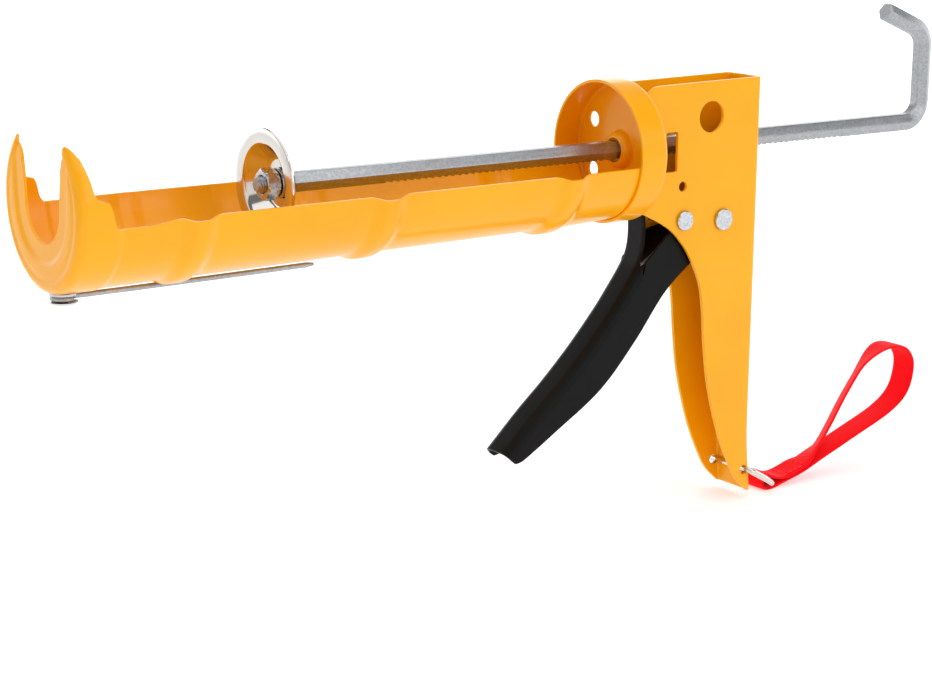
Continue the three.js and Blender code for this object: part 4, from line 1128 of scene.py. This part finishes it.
class GUN_OT_stage(bpy.types.Operator):
    """Set up the camera, lights and light table"""
    bl_idname = "gun.stage"
    bl_label = "Studio"

    def execute(self, context):
        scene, stage = context.scene, context.scene.caulking_gun.stage
        azimuth, elevation = stage.azimuth, stage.elevation
        back = Vector((math.sin(azimuth) * math.cos(elevation), -math.cos(azimuth) * math.cos(elevation),
                       math.sin(elevation)))
        right = Vector((math.cos(azimuth), math.sin(azimuth), 0))
        up = back.cross(right)
        turned = right * math.cos(stage.roll) + up * math.sin(stage.roll)
        lens = bpy.data.cameras.new("studio_camera")
        lens.lens, lens.sensor_width, lens.sensor_fit = stage.lens, 36, "HORIZONTAL"
        lens.clip_start, lens.clip_end = 0.01, 50
        camera = bpy.data.objects.new("studio_camera", lens)
        turn = Matrix((turned, back.cross(turned), back)).transposed().to_4x4()
        camera.matrix_world = Matrix.Translation(Vector(stage.target) + back * stage.distance) @ turn
        scene.collection.objects.link(camera)
        scene.camera = camera
        scene.view_settings.view_transform = "Standard"
        self.sweep(context)
        self.lights(context, back, right)
        return {"FINISHED"}

    def sweep(self, context):
        """Light table: a wide flat floor, closed all round by a far raised rim."""
        turn = np.linspace(0, 2 * np.pi, 64, endpoint=False)
        rows = []
        for radius, height in ((1e-6, 0), (0.6, 0), (2.0, 0), (4.0, 0), (5.0, 0.08), (5.8, 0.5), (6.3, 1.4),
                               (6.5, 3.5)):
            rows.append(np.column_stack([radius * np.cos(turn), radius * np.sin(turn), np.full(64, height)]))
        points, faces = grid(np.array(rows), wrap_columns=True)
        mesh = bpy.data.meshes.new("light_table")
        mesh.from_pydata(points.tolist(), [], faces)
        mesh.shade_smooth()
        mesh.materials.append(finish_for("opal_acrylic", context.scene.caulking_gun.finishes))
        floor = bpy.data.objects.new("light_table", mesh)
        context.scene.collection.objects.link(floor)

    def lights(self, context, back, right):
        """Soft lights up on the camera's right, behind, and wide overhead, and an even surround."""
        stage = context.scene.caulking_gun.stage
        aim = Vector(stage.target)
        flat = Vector((back.x, back.y, 0)).normalized()
        for name, place, size, power in (
                ("key_softbox", aim + flat * 0.75 + right * 0.95 + Vector((0, 0, 0.85)), 1.25, stage.key),
                ("rim_softbox", aim - flat * 1.3 + right * 0.2 + Vector((0, 0, 0.6)), 1.2, stage.key * 0.35),
                ("top_softbox", aim + Vector((-0.1, 0, 1.5)), 2.4, stage.key * 3.6)):
            data = bpy.data.lights.new(name, "AREA")
            data.shape, data.size, data.energy = "SQUARE", size, power
            light = bpy.data.objects.new(name, data)
            turn = (aim - place).to_track_quat("-Z", "Y").to_matrix().to_4x4()
            light.matrix_world = Matrix.Translation(place) @ turn
            context.scene.collection.objects.link(light)
        world = bpy.data.worlds.new("studio_surround")
        world.use_nodes = True
        surround = world.node_tree.nodes["Background"]
        surround.inputs["Color"].default_value = (1, 1, 1, 1)
        surround.inputs["Strength"].default_value = stage.sky
        context.scene.world = world


class GUN_PT_panel(bpy.types.Panel):
    """Lists the gun's sizes and finishes, and its pieces in the order in which they are made"""
    bl_idname = "GUN_PT_panel"
    bl_label = "Caulking gun"
    bl_space_type = "VIEW_3D"
    bl_region_type = "UI"
    bl_category = "Caulking gun"

    def draw(self, context):
        gun = context.scene.caulking_gun
        for name in ("barrel", "cup", "handle", "trigger", "rod", "strap", "finishes", "stage"):
            group, box = getattr(gun, name), self.layout.box()
            box.label(text=name.capitalize())
            for key in group.__annotations__:
                box.prop(group, key)
        self.layout.prop(gun, "around")
        for operator in OPERATORS:
            self.layout.operator(operator.bl_idname)


GROUPS = (BarrelSizes, CupSizes, HandleSizes, TriggerSizes, RodSizes, StrapSizes, Finishes, StageSettings,
          GunSettings)
OPERATORS = (GUN_OT_stage, GUN_OT_barrel, GUN_OT_cup, GUN_OT_handle, GUN_OT_rivets, GUN_OT_trigger,
             GUN_OT_ratchet, GUN_OT_rod, GUN_OT_piston, GUN_OT_seal_pin, GUN_OT_strap)


def register():
    for item in (*GROUPS, *OPERATORS, GUN_PT_panel):
        bpy.utils.register_class(item)
    bpy.types.Scene.caulking_gun = PointerProperty(type=GunSettings)


def unregister():
    del bpy.types.Scene.caulking_gun
    for item in reversed((*GROUPS, *OPERATORS, GUN_PT_panel)):
        bpy.utils.unregister_class(item)


def main():
    register()
    bpy.ops.gun.stage()
    bpy.ops.gun.barrel()
    bpy.ops.gun.cup()
    bpy.ops.gun.handle()
    bpy.ops.gun.rivets()
    bpy.ops.gun.trigger()
    bpy.ops.gun.ratchet()
    bpy.ops.gun.rod()
    bpy.ops.gun.piston()
    bpy.ops.gun.seal_pin()
    bpy.ops.gun.strap()
    bpy.context.view_layer.update()


if __name__ == "__main__":
    main()
